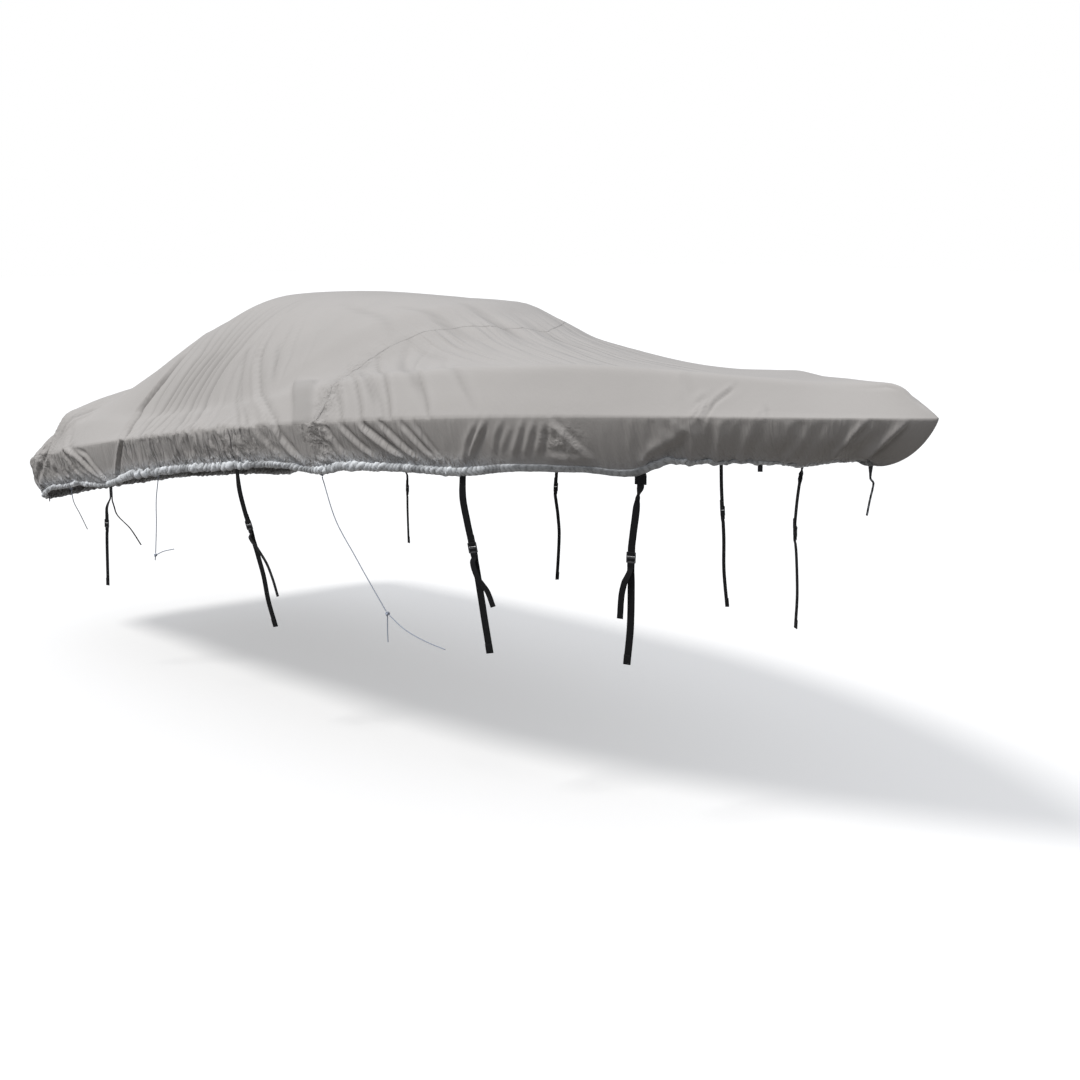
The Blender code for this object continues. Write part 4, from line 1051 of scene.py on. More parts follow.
class Look:
    """A small builder for the nodes of a material or of the sky."""

    def __init__(self, name, kind="materials", shader="Principled BSDF"):
        self.material = getattr(bpy.data, kind).new(name)
        self.material.use_nodes = True
        self.nodes = self.material.node_tree.nodes
        self.links = self.material.node_tree.links
        self.shader = self.nodes[shader]

    def feed(self, socket, value):
        """Links a socket to another one, or sets its value."""
        if isinstance(value, bpy.types.NodeSocket):
            self.links.new(value, socket)
        else:
            socket.default_value = value

    def add(self, kind, inputs=(), **values):
        """A node of one kind, with its settings made and its inputs fed."""
        node = self.nodes.new("ShaderNode" + kind)
        for key, value in values.items():
            setattr(node, key, value)
        for socket, value in dict(inputs).items():
            self.feed(node.inputs[socket], value)
        return node

    def place(self):
        """Where on the piece, in its own metres."""
        return self.add("TexCoord").outputs["Object"]

    def uv(self):
        """Where on the flat cloth or along the webbing, in metres."""
        return self.add("UVMap", uv_map="UVMap").outputs[0]

    def mask(self, name):
        """A value that the mesh carries at its points."""
        return self.add("Attribute", attribute_name=name).outputs["Fac"]

    def spread(self, value, low, high):
        """A value from 0 to 1 taken to the range from low to high."""
        return self.add("MapRange", {0: value, 3: low, 4: high}).outputs[0]

    def turned(self, vector, angle):
        """A pattern turned flat by an angle."""
        return self.scaled(vector, (1.0, 1.0, 1.0), angle)

    def math(self, operation, first, second=0.0, third=0.0):
        """One step of arithmetic on up to three values."""
        return self.add("Math", {0: first, 1: second, 2: third}, operation=operation).outputs[0]

    def scaled(self, vector, scale, turn=0.0):
        """A pattern's place scaled along each way, then turned flat."""
        made = self.add("Mapping", {"Vector": vector, "Scale": scale, "Rotation": (0.0, 0.0, turn)})
        return made.outputs[0]

    def noise(self, vector, scale, detail=3.0, roughness=0.5):
        """Soft noise, about so many lumps to the metre as its scale."""
        return self.add("TexNoise", {"Vector": vector, "Scale": scale, "Detail": detail,
                                     "Roughness": roughness}).outputs[0]

    def wave(self, vector, scale, direction="X"):
        """Even bands: a sine of the place along one direction."""
        return self.add("TexWave", {"Vector": vector, "Scale": scale, "Distortion": 0.0},
                        wave_type="BANDS", bands_direction=direction).outputs["Fac"]

    def creases(self, vector, detail):
        """Thin crest lines where a noise crosses its middle value."""
        noise = self.noise(vector, 1.0, detail, 0.5)
        away = self.math("ABSOLUTE", self.math("SUBTRACT", noise, 0.5))
        return self.math("SUBTRACT", 1.0, self.math("MULTIPLY", away, 4.0))

    def weave(self, uv):
        """Warp and weft threads, 1.4 mm apart."""
        return self.math("MULTIPLY", self.wave(uv, 700.0, "X"), self.wave(uv, 700.0, "Y"))

    def ramp(self, factor, stops):
        """The colour at a factor from 0 to 1, between stops."""
        node = self.add("ValToRGB", {"Fac": factor})
        elements = node.color_ramp.elements
        while len(elements) < len(stops):
            elements.new(0.5)
        for element, (position, colour) in zip(elements, stops):
            element.position = position
            element.color = (*colour, 1.0)
        return node.outputs["Color"]

    def mix(self, factor, first, second):
        """The first colour, passing to the second as the factor rises."""
        node = self.add("Mix", data_type="RGBA")
        self.feed(node.inputs[0], factor)
        for socket, colour in ((node.inputs[6], first), (node.inputs[7], second)):
            self.feed(socket, (*colour, 1.0) if isinstance(colour, tuple) else colour)
        return node.outputs[2]

    def bump(self, height, strength, distance, below=None):
        """The normal tilted by the slope of a height, over another bump where below is one."""
        inputs = {"Height": height, "Strength": strength, "Distance": distance}
        if below is not None:
            inputs["Normal"] = below
        return self.add("Bump", inputs).outputs[0]

    def finish(self, colour, roughness, normal, **sockets):
        """Feeds the shader its main sockets and sets the others by name."""
        for socket, value in (("Base Color", colour), ("Roughness", roughness), ("Normal", normal)):
            if value is not None:
                self.feed(self.shader.inputs[socket], value)
        for socket, value in sockets.items():
            self.shader.inputs[socket.replace("_", " ")].default_value = value
        return self.material


def shade(colour, *factors):
    """A colour times one factor, or times a factor for each of red, green and blue."""
    factors = factors * 3 if len(factors) == 1 else factors
    return tuple(min(c * factor, 1.0) for c, factor in zip(colour, factors))


# The cloth's finest wrinkles: the attribute that shows each kind, and its height
WRINKLES = (("pleat", 0.0080), ("fan", -0.0032), ("wave", 0.0095), ("crumple", 0.0070),
            ("frill", 0.0120))


def cloth_look(name, colour):
    """Coated polyester: plain weave, cloudy fading, dust in fine streaks, painted shade in the folds'
    hollows, a cool painted reflection of the sky towards the hem, painted highlights along the
    frills, a faint sheen, and the wrinkles too fine for the mesh, each kind where its attribute
    shows it."""
    look = Look(name)
    uv = look.uv()
    place = look.place()
    cloud = look.noise(place, 1.6, 4.0, 0.55)
    patch = look.noise(place, 7.0, 3.0, 0.5)
    fibre = look.noise(look.scaled(uv, (900.0, 90.0, 1.0)), 1.0, 2.0)
    tone = look.ramp(cloud, [(0.30, shade(colour, 0.95)), (0.55, colour), (0.80, shade(colour, 1.04))])
    warm = look.mix(look.math("MULTIPLY", patch, 0.10), tone, shade(colour, 1.02, 0.99, 1.03))
    dusty = look.mix(look.math("MULTIPLY", fibre, 0.08), warm, shade(colour, 0.80))
    # Painted shade: the colour darkens towards 0.45 of itself where the relief value falls below a half,
    # in the folds' hollows and on the patch under the hard edge.
    low = look.math("MAXIMUM", look.math("SUBTRACT", 0.5, look.mask("relief")), 0.0)
    crease_shaded = look.mix(look.math("MINIMUM", low, 1.0), dusty, shade(colour, 0.45))
    # Painted reflection of the sky: the cloth turns cooler towards the hem.
    crease_shaded = look.mix(look.mask("cool"), crease_shaded, shade(colour, 0.98, 1.06, 1.24))
    lines = dict(
        pleat=look.creases(look.scaled(uv, (26.0, 2.2, 1.0)), 2.0),
        fan=look.creases(look.scaled(look.turned(uv, 0.55), (8.0, 0.6, 1.0)), 2.0),
        wave=look.creases(look.scaled(look.turned(place, 0.13), (0.9, 17.0, 1.0)), 1.5),
        crumple=look.creases(look.scaled(place, (24.0, 17.0, 24.0)), 4.0),
        frill=look.creases(look.scaled(uv, (62.0, 22.0, 1.0)), 2.0),
    )
    # Painted highlights: pale cool streaks along the frills' crests low on the skirt.
    frill_highlight = look.math("MAXIMUM", look.math("MULTIPLY_ADD", lines["frill"], 2.0, -0.75), 0.0)
    crease_shaded = look.mix(look.math("MULTIPLY", frill_highlight, look.mask("frill")), crease_shaded,
                       shade(colour, 1.45, 1.55, 1.68))
    normal = None
    for kind, height in WRINKLES:
        shown = look.math("MULTIPLY", look.mask(kind), math.copysign(1.0, height))
        tall = look.math("MULTIPLY", lines[kind], shown)
        normal = look.bump(tall, 1.0, abs(height), normal)
    slub = look.noise(look.scaled(uv, (30.0, 260.0, 1.0)), 1.0, 3.0)
    crinkle = look.noise(uv, 40.0, 3.0, 0.6)
    normal = look.bump(look.weave(uv), 0.25, 0.0003, normal)
    normal = look.bump(slub, 0.20, 0.0010, normal)
    normal = look.bump(crinkle, 0.25, 0.0030, normal)
    return look.finish(crease_shaded, look.spread(patch, 0.72, 0.86), normal, Sheen_Weight=0.12,
                       Sheen_Roughness=0.5, Specular_IOR_Level=0.35)


def hem_look(name, colour):
    """The turned hem: a pale, cool painted highlight along each frill's crest, and painted shade in the
    valleys between.
    """
    look = Look(name)
    uv = look.uv()
    patch = look.noise(uv, 30.0, 3.0)
    uneven = look.math("MULTIPLY", look.math("SUBTRACT", patch, 0.5), 0.3)
    crest = look.math("ADD", look.mask("crest"), uneven)
    # Painted highlight and shade: the crest value takes the colour from dark in the valleys to pale on
    # the crests.
    colours = look.ramp(crest, [(0.06, shade(colour, 0.35)), (0.24, shade(colour, 1.00)),
                                (0.60, shade(colour, 1.70))])
    fine = look.creases(look.scaled(uv, (110.0, 25.0, 1.0)), 2.0)
    normal = look.bump(fine, 0.7, 0.0022)
    normal = look.bump(look.weave(uv), 0.25, 0.0003, normal)
    return look.finish(colours, 0.62, normal, Sheen_Weight=0.12, Specular_IOR_Level=0.4)


def webbing_look(name, colour, rib=0.0022, pick=0.0016):
    """Woven webbing: fine ribs along its length crossed by the weft, dusty where it is worn."""
    look = Look(name)
    uv = look.uv()
    ribs = look.wave(uv, 0.5 / rib, "Y")
    weft = look.wave(look.turned(uv, 0.6), 0.5 / pick, "X")
    wear = look.noise(look.place(), 60.0, 4.0, 0.6)
    colours = look.ramp(wear, [(0.35, shade(colour, 0.8)), (0.60, colour), (0.85, shade(colour, 2.2))])
    height = look.math("ADD", look.math("MULTIPLY", ribs, 0.7), look.math("MULTIPLY", weft, 0.3))
    return look.finish(colours, look.spread(wear, 0.55, 0.8), look.bump(height, 0.6, 0.0006),
                       Specular_IOR_Level=0.12)


def plastic_look(name, colour):
    """Moulded plastic, finely pitted, with paler scuffs here and there."""
    look = Look(name)
    place = look.place()
    pits = look.noise(place, 900.0, 2.0)
    scuff = look.noise(place, 120.0, 4.0, 0.7)
    colours = look.ramp(scuff, [(0.4, shade(colour, 0.8)), (0.62, colour), (0.80, shade(colour, 3.0))])
    return look.finish(colours, look.spread(scuff, 0.32, 0.55), look.bump(pits, 0.15, 0.0003),
                       Coat_Weight=0.1)


def cord_look(name, first, second):
    """Laid cord: strands in two colours told by an attribute, with fine fibres."""
    look = Look(name)
    fibre = look.noise(look.place(), 1500.0, 2.0)
    base = look.mix(look.mask("strand"), first, second)
    colours = look.mix(look.math("MULTIPLY", fibre, 0.35), base, shade(first, 0.6))
    return look.finish(colours, 0.8, look.bump(fibre, 0.3, 0.0004), Sheen_Weight=0.1)


def thread_look(name, colour):
    """Sewing thread, a little uneven in tone."""
    look = Look(name)
    fibre = look.noise(look.place(), 2500.0, 2.0)
    colours = look.ramp(fibre, [(0.3, shade(colour, 0.75)), (0.7, colour)])
    return look.finish(colours, 0.7, look.bump(fibre, 0.2, 0.0002))


def stage_look(name, colour, glow):
    """Pale matt floor that glows slightly."""
    look = Look(name)
    tone = look.noise(look.place(), 0.35, 2.0)
    colours = look.ramp(tone, [(0.3, shade(colour, 0.99)), (0.7, colour)])
    look.shader.inputs["Emission Color"].default_value = (1.0, 1.0, 1.0, 1.0)
    look.shader.inputs["Emission Strength"].default_value = glow
    return look.finish(colours, 0.9, None, Specular_IOR_Level=0.1)


# Cloth panels

# Stretches of ribs round the edge: first, last and step, finest beside the cross seam
BESIDE_SEAM = 0.20
FRONT_RIBS = [(0.0, SEAM_GIRTH - BESIDE_SEAM, 0.0084), (SEAM_GIRTH - BESIDE_SEAM, SEAM_GIRTH, 0.0062)]
REAR_RIBS = [(SEAM_GIRTH, SEAM_GIRTH + BESIDE_SEAM, 0.0062),
             (SEAM_GIRTH + BESIDE_SEAM, TURN_GIRTH, 0.0102), (TURN_GIRTH, GIRTH, 0.0200)]

# The span of heights that the material reads as 0 to 1, painting shade where the value falls
# below a half, and how far from the starboard half the port half is laid out flat
RELIEF_SPAN = 0.03
PORT_UV_SHIFT = 7.0


def rib_run(runs):
    """Ribs at near even steps over each run, the ends shared."""
    pieces = [np.linspace(first, last, int(round((last - first) / step)) + 1)
              for first, last, step in runs]
    return np.concatenate([pieces[0]] + [piece[1:] for piece in pieces[1:]])


def level_columns(skirt=28, top=46):
    """Levels from hem to ridge, closest together at the gunwale and the hem."""
    down = np.linspace(0, 1, skirt + 1)
    down = 0.55 * down + 0.45 * (0.5 - 0.5 * np.cos(down * math.pi))
    up = np.linspace(0, 1, top + 1) ** 1.15
    return np.concatenate([-down[::-1], up[1:]])


def both_sides(starboard, port):
    """Columns of the starboard half and then of the port half, the ridge shared."""
    return np.concatenate([starboard, port[:, -2::-1]], axis=1)


def close_centre(points, index, girths, ridge):
    """An end rib on the centre plane becomes one line for both sides, and small triangles
    close in its odd points."""
    triangles = []
    for row, order in ((0, 1), (len(girths) - 1, -1)):
        if min(girths[row], GIRTH - girths[row]) < 1e-9:
            points[row, :, 1] = 0.0
            index[row, ridge + 1:] = index[row, ridge - 2::-2]
            line = index[row, :ridge + 1]
            closing = np.stack([line[:-2:2], line[1:-1:2], line[2::2]], axis=-1)
            triangles.append(closing[:, ::order])
    return triangles


def panel_mesh(name, girths, levels):
    """Starboard hem to port hem, a row for each rib; the port side takes every second level."""
    girth, level = np.meshgrid(girths, levels, indexing="ij")
    ridge = len(levels) - 1
    starboard, _, starboard_relief = cover(girth, level, STARBOARD)
    port, _, port_relief = cover(girth[:, ::2], level[:, ::2], PORT)
    starboard[:, -1] = (starboard[:, -1] + port[:, -1]) / 2 * (1, 0, 1)
    points = both_sides(starboard, port)
    # The relief value is what the material paints shade from, in the folds' hollows.
    values = dict(relief=both_sides(starboard_relief, port_relief) / RELIEF_SPAN + 0.5)
    for key, mask in wrinkle_masks(girth, level).items():
        values[key] = both_sides(mask, mask[:, ::2])
    step = np.linalg.norm(np.diff(points, axis=1), axis=2)
    run = np.concatenate([np.zeros((len(points), 1)), np.cumsum(step, axis=1)], axis=1)
    run -= run[:, ridge][:, None]
    side = np.where(np.arange(points.shape[1]) > ridge, PORT_UV_SHIFT, 0.0)
    uv = np.stack([girths[:, None] + side[None, :], run], axis=-1)
    index = np.arange(run.size).reshape(run.shape)
    closing = close_centre(points, index, girths, ridge)
    faces = [grid_quads(index)] + closing
    used = np.zeros(index.size, bool)
    for group in faces:
        used[group.ravel()] = True
    number = np.cumsum(used) - 1
    rows = [row for group in faces for row in number[group].tolist()]
    mesh = made_mesh(name, points.reshape(-1, 3)[used], rows)
    set_uv(mesh, uv.reshape(-1, 2)[used])
    for key, value in values.items():
        point_attribute(mesh, key, value.reshape(-1)[used])
    return mesh


class BOATCOVER_OT_panels(bpy.types.Operator):
    """Rear and front cloth panels with their folds, thin sheets on the solids"""

    bl_idname = "boatcover.panels"
    bl_label = "Cloth Panels"

    def execute(self, context):
        values = context.scene.boat_cover
        look = cloth_look("cover_cloth", tuple(values.cloth_colour))
        levels = level_columns()
        for name, girths in (("rear", rib_run(REAR_RIBS)), ("front", rib_run(FRONT_RIBS))):
            piece = add_piece(f"{name}_cloth", panel_mesh(f"{name}_cloth", girths, levels), look,
                              "cloth", f"{name}_panel")
            skin = piece.modifiers.new("Thickness", "SOLIDIFY")
            skin.thickness = values.cloth
            skin.offset = -1.0
        return {"FINISHED"}


# Gathered hem

# The tube's sides and ribs; the frills' pitch, and how many of them one turn round the tube
# crosses; the frill height of a lively hem; how far the tube's middle sits above the cloth's
# edge, in half heights; and its size at the stern as a share
HEM_SIDES = 16
HEM_STEP = 0.0045
FRILL_PITCH = 0.028
FRILL_SLANT = -3.2
LIVELY_HEM = 0.010
HEM_SIT = 0.75
SLIM_STERN = 0.72


def ruffle(run, lean, spacing):
    """Round frills with sharp valleys: the size of a sine whose pace and height wander."""
    phase = run / spacing + 2.2 * rough(run / 0.17, 2.5, 8.5) + 0.9 * rough(run / 0.07, 4.5, 1.5)
    height = 0.65 + 0.95 * rough(np.floor(phase + lean) * 0.73, 6.5, 3.5)
    return np.abs(np.sin(math.pi * (phase + lean))) ** 0.6 * np.maximum(height, 0.05)


def hem_tube(girths, side, values):
    """An oval tube round the cloth's edge, its frills slanting like the strands of a rope:
    its points, their places on the flat cloth, and how bright a painted highlight their crests take."""
    edge, normal, _ = cover(girths, np.full(len(girths), -1.0), side)
    above, _, _ = cover(girths, np.full(len(girths), -0.90), side)
    down = unit(edge - above)
    along = tangents(edge)
    down = unit(down - along * (down * along).sum(axis=1, keepdims=True))
    out = unit(np.cross(along, down))
    out *= np.sign((out * normal).sum(axis=1, keepdims=True))
    station = station_of(girths)
    lively = read(GATHER, "ruffle", station)[:, None]
    share = np.clip(lively / LIVELY_HEM, 0, 1)
    run = around(girths, side)[:, None]
    angle = (np.arange(HEM_SIDES) / HEM_SIDES * 2 * math.pi)[None, :]
    outer, upper = np.sin(angle), np.cos(angle)
    lean = FRILL_SLANT * angle / (2 * math.pi) + 0.8 * rough(run / 0.12, angle, 4.5)
    frill = ruffle(run, lean, FRILL_PITCH)
    lump = 0.20 * rough(run / 0.31, 3.5, 0.5) + 0.18 * share * rough(run / 0.09, 7.5, 2.5)
    slim = (SLIM_STERN + (1 - SLIM_STERN) * smoothstep((station - 0.4) / 0.8))[:, None]
    height = values.hem_height * (1 + lump) * slim / 2
    thick = values.hem_thickness * (0.35 + 0.65 * share) * (1 + lump) * slim / 2
    swell = lively * (frill - 0.35) * (0.35 + 0.65 * np.clip(outer, 0, 1))
    reach_out = (thick + swell) * outer
    reach_down = -HEM_SIT * height - (height + swell * np.where(upper > 0, 1.5, 0.5)) * upper
    points = edge[:, None] + out[:, None] * reach_out[..., None] + down[:, None] * reach_down[..., None]
    uv = np.stack(np.broadcast_arrays(run, angle * 0.012), axis=-1)
    # Painted highlight and shade: the crest value is higher on the frills' crests and on the tube's
    # outward side.
    crest = share * frill * (0.55 + 0.45 * np.clip(outer, 0, 1)) + (1 - share) * (0.11 + 0.05 * outer)
    return points, uv, crest


class BOATCOVER_OT_hem(bpy.types.Operator):
    """Hem of each panel, gathered on its elastic"""

    bl_idname = "boatcover.hem"
    bl_label = "Gathered Hem"

    def execute(self, context):
        values = context.scene.boat_cover
        look = hem_look("hem_cloth", tuple(values.hem_colour))
        front = np.linspace(0.0, SEAM_GIRTH - 0.001, int(SEAM_GIRTH / HEM_STEP))
        rear = np.linspace(SEAM_GIRTH + 0.001, GIRTH, int((GIRTH - SEAM_GIRTH) / HEM_STEP))
        for name, girths in (("front", front[::-1]), ("rear", rear)):
            starboard, port = (hem_tube(girths, side, values) for side in SIDES.values())
            halves = zip(starboard, port)
            points, uv, crest = (np.concatenate([here, far[-2::-1]], axis=0) for here, far in halves)
            mesh = surface(f"{name}_hem", points, wrap=True, caps=True, uv=uv)
            # The crest value sets the hem's painted highlight and shade; the two cap middles take a
            # middling one.
            point_attribute(mesh, "crest", np.concatenate([crest.ravel(), [0.3, 0.3]]))
            add_piece(f"{name}_hem", face_outward(mesh), look, "cloth")
        return {"FINISHED"}


# Cross seam

def seam_line(levels, side):
    """The cloth's points and normals along the seam on one side."""
    point, normal, _ = cover(np.full(len(levels), SEAM_GIRTH), levels, side)
    return point, normal


def seam_path(spacing=0.004):
    """The seam from starboard hem over the ridge to port hem, with outward normals."""
    levels = level_columns()
    starboard, starboard_normal = seam_line(levels, STARBOARD)
    port, port_normal = seam_line(levels[::2], PORT)
    starboard[-1] = (starboard[-1] + port[-1]) / 2 * (1, 0, 1)
    line = np.concatenate([starboard, port[-2::-1]])
    normal = np.concatenate([starboard_normal, port_normal[-2::-1]])
    length = run_length(line)
    at = np.linspace(0, length[-1], int(length[-1] / spacing) + 1)
    return read_off(at, length, line), unit(read_off(at, length, normal))


# The lap's half width and height; the stitch rows, in half widths; and a stitch's length as a
# share of its pitch, its width and its height
SEAM_LAP_HALF, SEAM_LAP_OUT = 0.006, 0.0016
STITCH_ROWS = (-0.3, 0.3)
STITCH_SHARE, STITCH_WIDTH, STITCH_HEIGHT = 0.72, 0.0009, 0.0004

WELT_PROFILE = table("across out", [
    (-1.00, -0.6),
    (-0.90, 0.5),
    (-0.60, 1.0),
    (-0.30, 0.75),
    (0.00, 1.0),
    (0.30, 0.8),
    (0.70, 1.0),
    (0.95, 0.2),
    (1.00, -0.6),
])


def stitches(name, centres, along, out, long, wide, high):
    """A six-sided bead for each stitch, pointed at both ends."""
    side = unit(np.cross(along, out))
    ring = np.linspace(0, 2 * math.pi, 6, endpoint=False)
    rows = []
    for place, size in ((-0.5, 0.35), (-0.25, 1.0), (0.25, 1.0), (0.5, 0.35)):
        offset = (side[:, None] * (np.cos(ring) * wide / 2 * size)[None, :, None]
                  + out[:, None] * (np.sin(ring) * high * size)[None, :, None])
        rows.append(centres[:, None] + along[:, None] * place * long + offset)
    points = np.stack(rows, axis=1)
    count = len(centres)
    index = np.arange(count * 24).reshape(count, 4, 6)
    turned = np.roll(index, -1, axis=2)
    quads = np.stack([index[:, :-1], index[:, 1:], turned[:, 1:], turned[:, :-1]], axis=-1)
    ends = [index[:, 0], index[:, -1, ::-1]]
    faces = quads.reshape(-1, 4).tolist() + np.concatenate(ends).tolist()
    return face_outward(made_mesh(name, points, faces))


class BOATCOVER_OT_seam(bpy.types.Operator):
    """Lapped cross seam with two rows of stitches"""

    bl_idname = "boatcover.seam"
    bl_label = "Cross Seam"

    def execute(self, context):
        values = context.scene.boat_cover
        line, normal = seam_path()
        along = tangents(line)
        side = unit(np.cross(along, normal))
        across, out = WELT_PROFILE["across"] * SEAM_LAP_HALF, WELT_PROFILE["out"] * SEAM_LAP_OUT
        points = (line[:, None] + side[:, None] * across[None, :, None]
                  + normal[:, None] * out[None, :, None])
        run = run_length(line)
        uv = np.stack(np.broadcast_arrays(run[:, None], across[None, :]), axis=-1)
        mesh = surface("seam_lap", points, uv=uv, wrap=True, caps=True)
        # The lap's relief value below a half gives it a little painted shade.
        point_attribute(mesh, "relief", np.full(len(mesh.vertices), 0.38))
        point_attribute(mesh, "crumple", np.full(len(mesh.vertices), 0.4))
        look = bpy.data.materials["cover_cloth"]
        add_piece("seam_lap", face_outward(mesh), look, "cloth")
        count = int(run[-1] / values.stitch)
        at = (np.arange(count) + 0.5) * values.stitch
        rows = []
        toward, up = (unit(read_off(at, run, arrows)) for arrows in (along, normal))
        for offset in STITCH_ROWS:
            beyond = unit(np.cross(toward, up)) * SEAM_LAP_HALF * offset
            centre = read_off(at, run, line) + beyond + up * SEAM_LAP_OUT
            rows.append(stitches("row", centre, toward, up, values.stitch * STITCH_SHARE,
                                 STITCH_WIDTH, STITCH_HEIGHT))
        look = thread_look("seam_thread", shade(tuple(values.cloth_colour), 0.62))
        add_piece("seam_stitches", joined(rows, "seam_stitches"), look, "cloth")
        return {"FINISHED"}


# Webbing

STRAP_RING = 12


def strap_mesh(name, line, across, width, thickness=STRAP_THICKNESS, twist=0.0):
    """A flattened ring, rounded at its edges, carried along the line and turned by twist."""
    wide, face = ways(line, across)
    turn = np.broadcast_to(np.asarray(twist, float), (len(line),))[:, None]
    wide, face = wide * np.cos(turn) + face * np.sin(turn), face * np.cos(turn) - wide * np.sin(turn)
    angle = (np.arange(STRAP_RING) + 0.5) / STRAP_RING * 2 * math.pi
    flat = np.sign(np.cos(angle)) * np.abs(np.cos(angle)) ** 0.35
    thick = np.sign(np.sin(angle)) * np.abs(np.sin(angle)) ** 0.6
    half = np.broadcast_to(np.asarray(width, float) / 2, (len(line),))[:, None, None]
    deep = np.broadcast_to(np.asarray(thickness, float) / 2, (len(line),))[:, None, None]
    points = (line[:, None] + wide[:, None] * half * flat[None, :, None]
              + face[:, None] * deep * thick[None, :, None])
    run = run_length(line)[:, None]
    uv = np.stack(np.broadcast_arrays(run, flat[None, :] * np.max(width) / 2), axis=-1)
    return face_outward(surface(name, points, wrap=True, caps=True, uv=uv))


def through(points, spacing=0.02):
    """Points at even steps on a smooth curve through a route."""
    return even(np.array(points, float), spacing)


def led(start, lead, length, route, spacing=0.025):
    """A straight lead away from a seat, then a smooth curve through the route."""
    turn = start + lead * length
    return np.array([start] + list(through([turn] + list(route), spacing)))


def mirrored(points):
    """A route for the other side."""
    return [(x, -y, z) for x, y, z in points]


def hull(points):
    """Hull coordinates taken to the frame's."""
    return np.array(points, float) - ORIGIN


def hem_frame(station, side):
    """Seat at the hem's edge: point, direction along the hem, and down the skirt."""
    girth = float(girth_at(station))
    girths = np.array([girth - 0.03, girth, girth + 0.03])
    edge = drape(girths, np.full(3, -1.0), side) - ORIGIN
    above = drape(girths[1:2], np.array([-0.97]), side)[0] - ORIGIN
    along = unit(edge[0] - edge[2])
    down = edge[1] - above
    down = unit(down - along * (down @ along))
    return edge[1], along, down


def tab_line(top, down, drops):
    """A tab's route: down along the skirt, a bend in two steps, and straight down by each drop."""
    bend = top + down * LEAD
    turn = bend + unit(down + DOWN) * LEAD * 1.5
    return np.array([top, bend, turn] + list(turn + drops[:, None] * DOWN))


def box_centre(node):
    """Middle of a CAD node's box."""
    low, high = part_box(node)
    return (np.array(low) + np.array(high)) / 2


def bow_tab_ends():
    """Head and foot of the bow tab on the centre line."""
    low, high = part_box("bow_tab")
    middle = (low.x + high.x) / 2
    return np.array([middle, 0.0, high.z]), np.array([middle, 0.0, low.z])


def strap_parts(row, side):
    """Where each part of one tie runs, from the same rule as the solids, and how its buckle
    and webbing face."""
    route = hull(row["route"] if side == STARBOARD else mirrored(row["route"]))
    seat, along, down = hem_frame(row["station"], side)
    top = seat + down * GAP
    from_tab = row["tail_from"] == "tab"
    spread = row["width"] * 0.8 / 2 + 0.0015 if from_tab else 0.0
    tab = None
    if row["tab"]:
        tab = tab_line(top, down, np.cumsum([row["tab"] / 3] * 3))
        top = tab[-1] + DOWN * GAP
        down = DOWN
    forward = unit(along * (1, 1, 0))
    line = led(top - forward * spread, down, LEAD, route)
    run = run_length(line)
    past = row["buckle_from"] + BUCKLE_LENGTH
    begin, finish = read_off([row["buckle_from"] - BUCKLE_MARGIN, past + BUCKLE_MARGIN], run, line)
    axis = unit(finish - begin)
    upper = list(line[run < row["buckle_from"] - BUCKLE_MARGIN * 1.5])
    upper = np.array(upper + [begin, begin + axis * BUCKLE_MARGIN])
    centre = begin + axis * (BUCKLE_MARGIN + GAP + BUCKLE_LENGTH / 2)
    wide = unit(along - axis * (axis @ along))
    outward = np.cross(wide, axis)
    if outward[1] * side < 0:
        outward = -outward
    below = centre + axis * (BUCKLE_LENGTH / 2 + GAP)
    ply = outward * (STRAP_THICKNESS / 2 + PLY_GAP)
    lower = list(line[run > past + BUCKLE_MARGIN * 1.5])
    lower = np.array([below - ply, below - ply + axis * BUCKLE_MARGIN] + lower)
    first = top + forward * spread if from_tab else below + ply
    lead = DOWN if from_tab else axis
    sideways = unit(outward * (1, 1, 0))
    steps = np.array(row["tail"]) @ np.array([sideways, forward, DOWN])
    tail = led(first, lead, BUCKLE_MARGIN, first + steps)
    yaw = row["yaw"] * np.sign(np.cross(axis, outward)[0]) if side == STARBOARD else 0.0
    wide, outward = (way * math.cos(yaw) + np.cross(axis, way) * math.sin(yaw)
                     for way in (wide, outward))
    return dict(tab=tab, upper=upper, lower=lower, tail=tail, centre=centre, axis=axis, along=along,
                wide=wide, outward=outward, yaw=yaw, width=row["width"] * (0.8 if spread else 1.0))


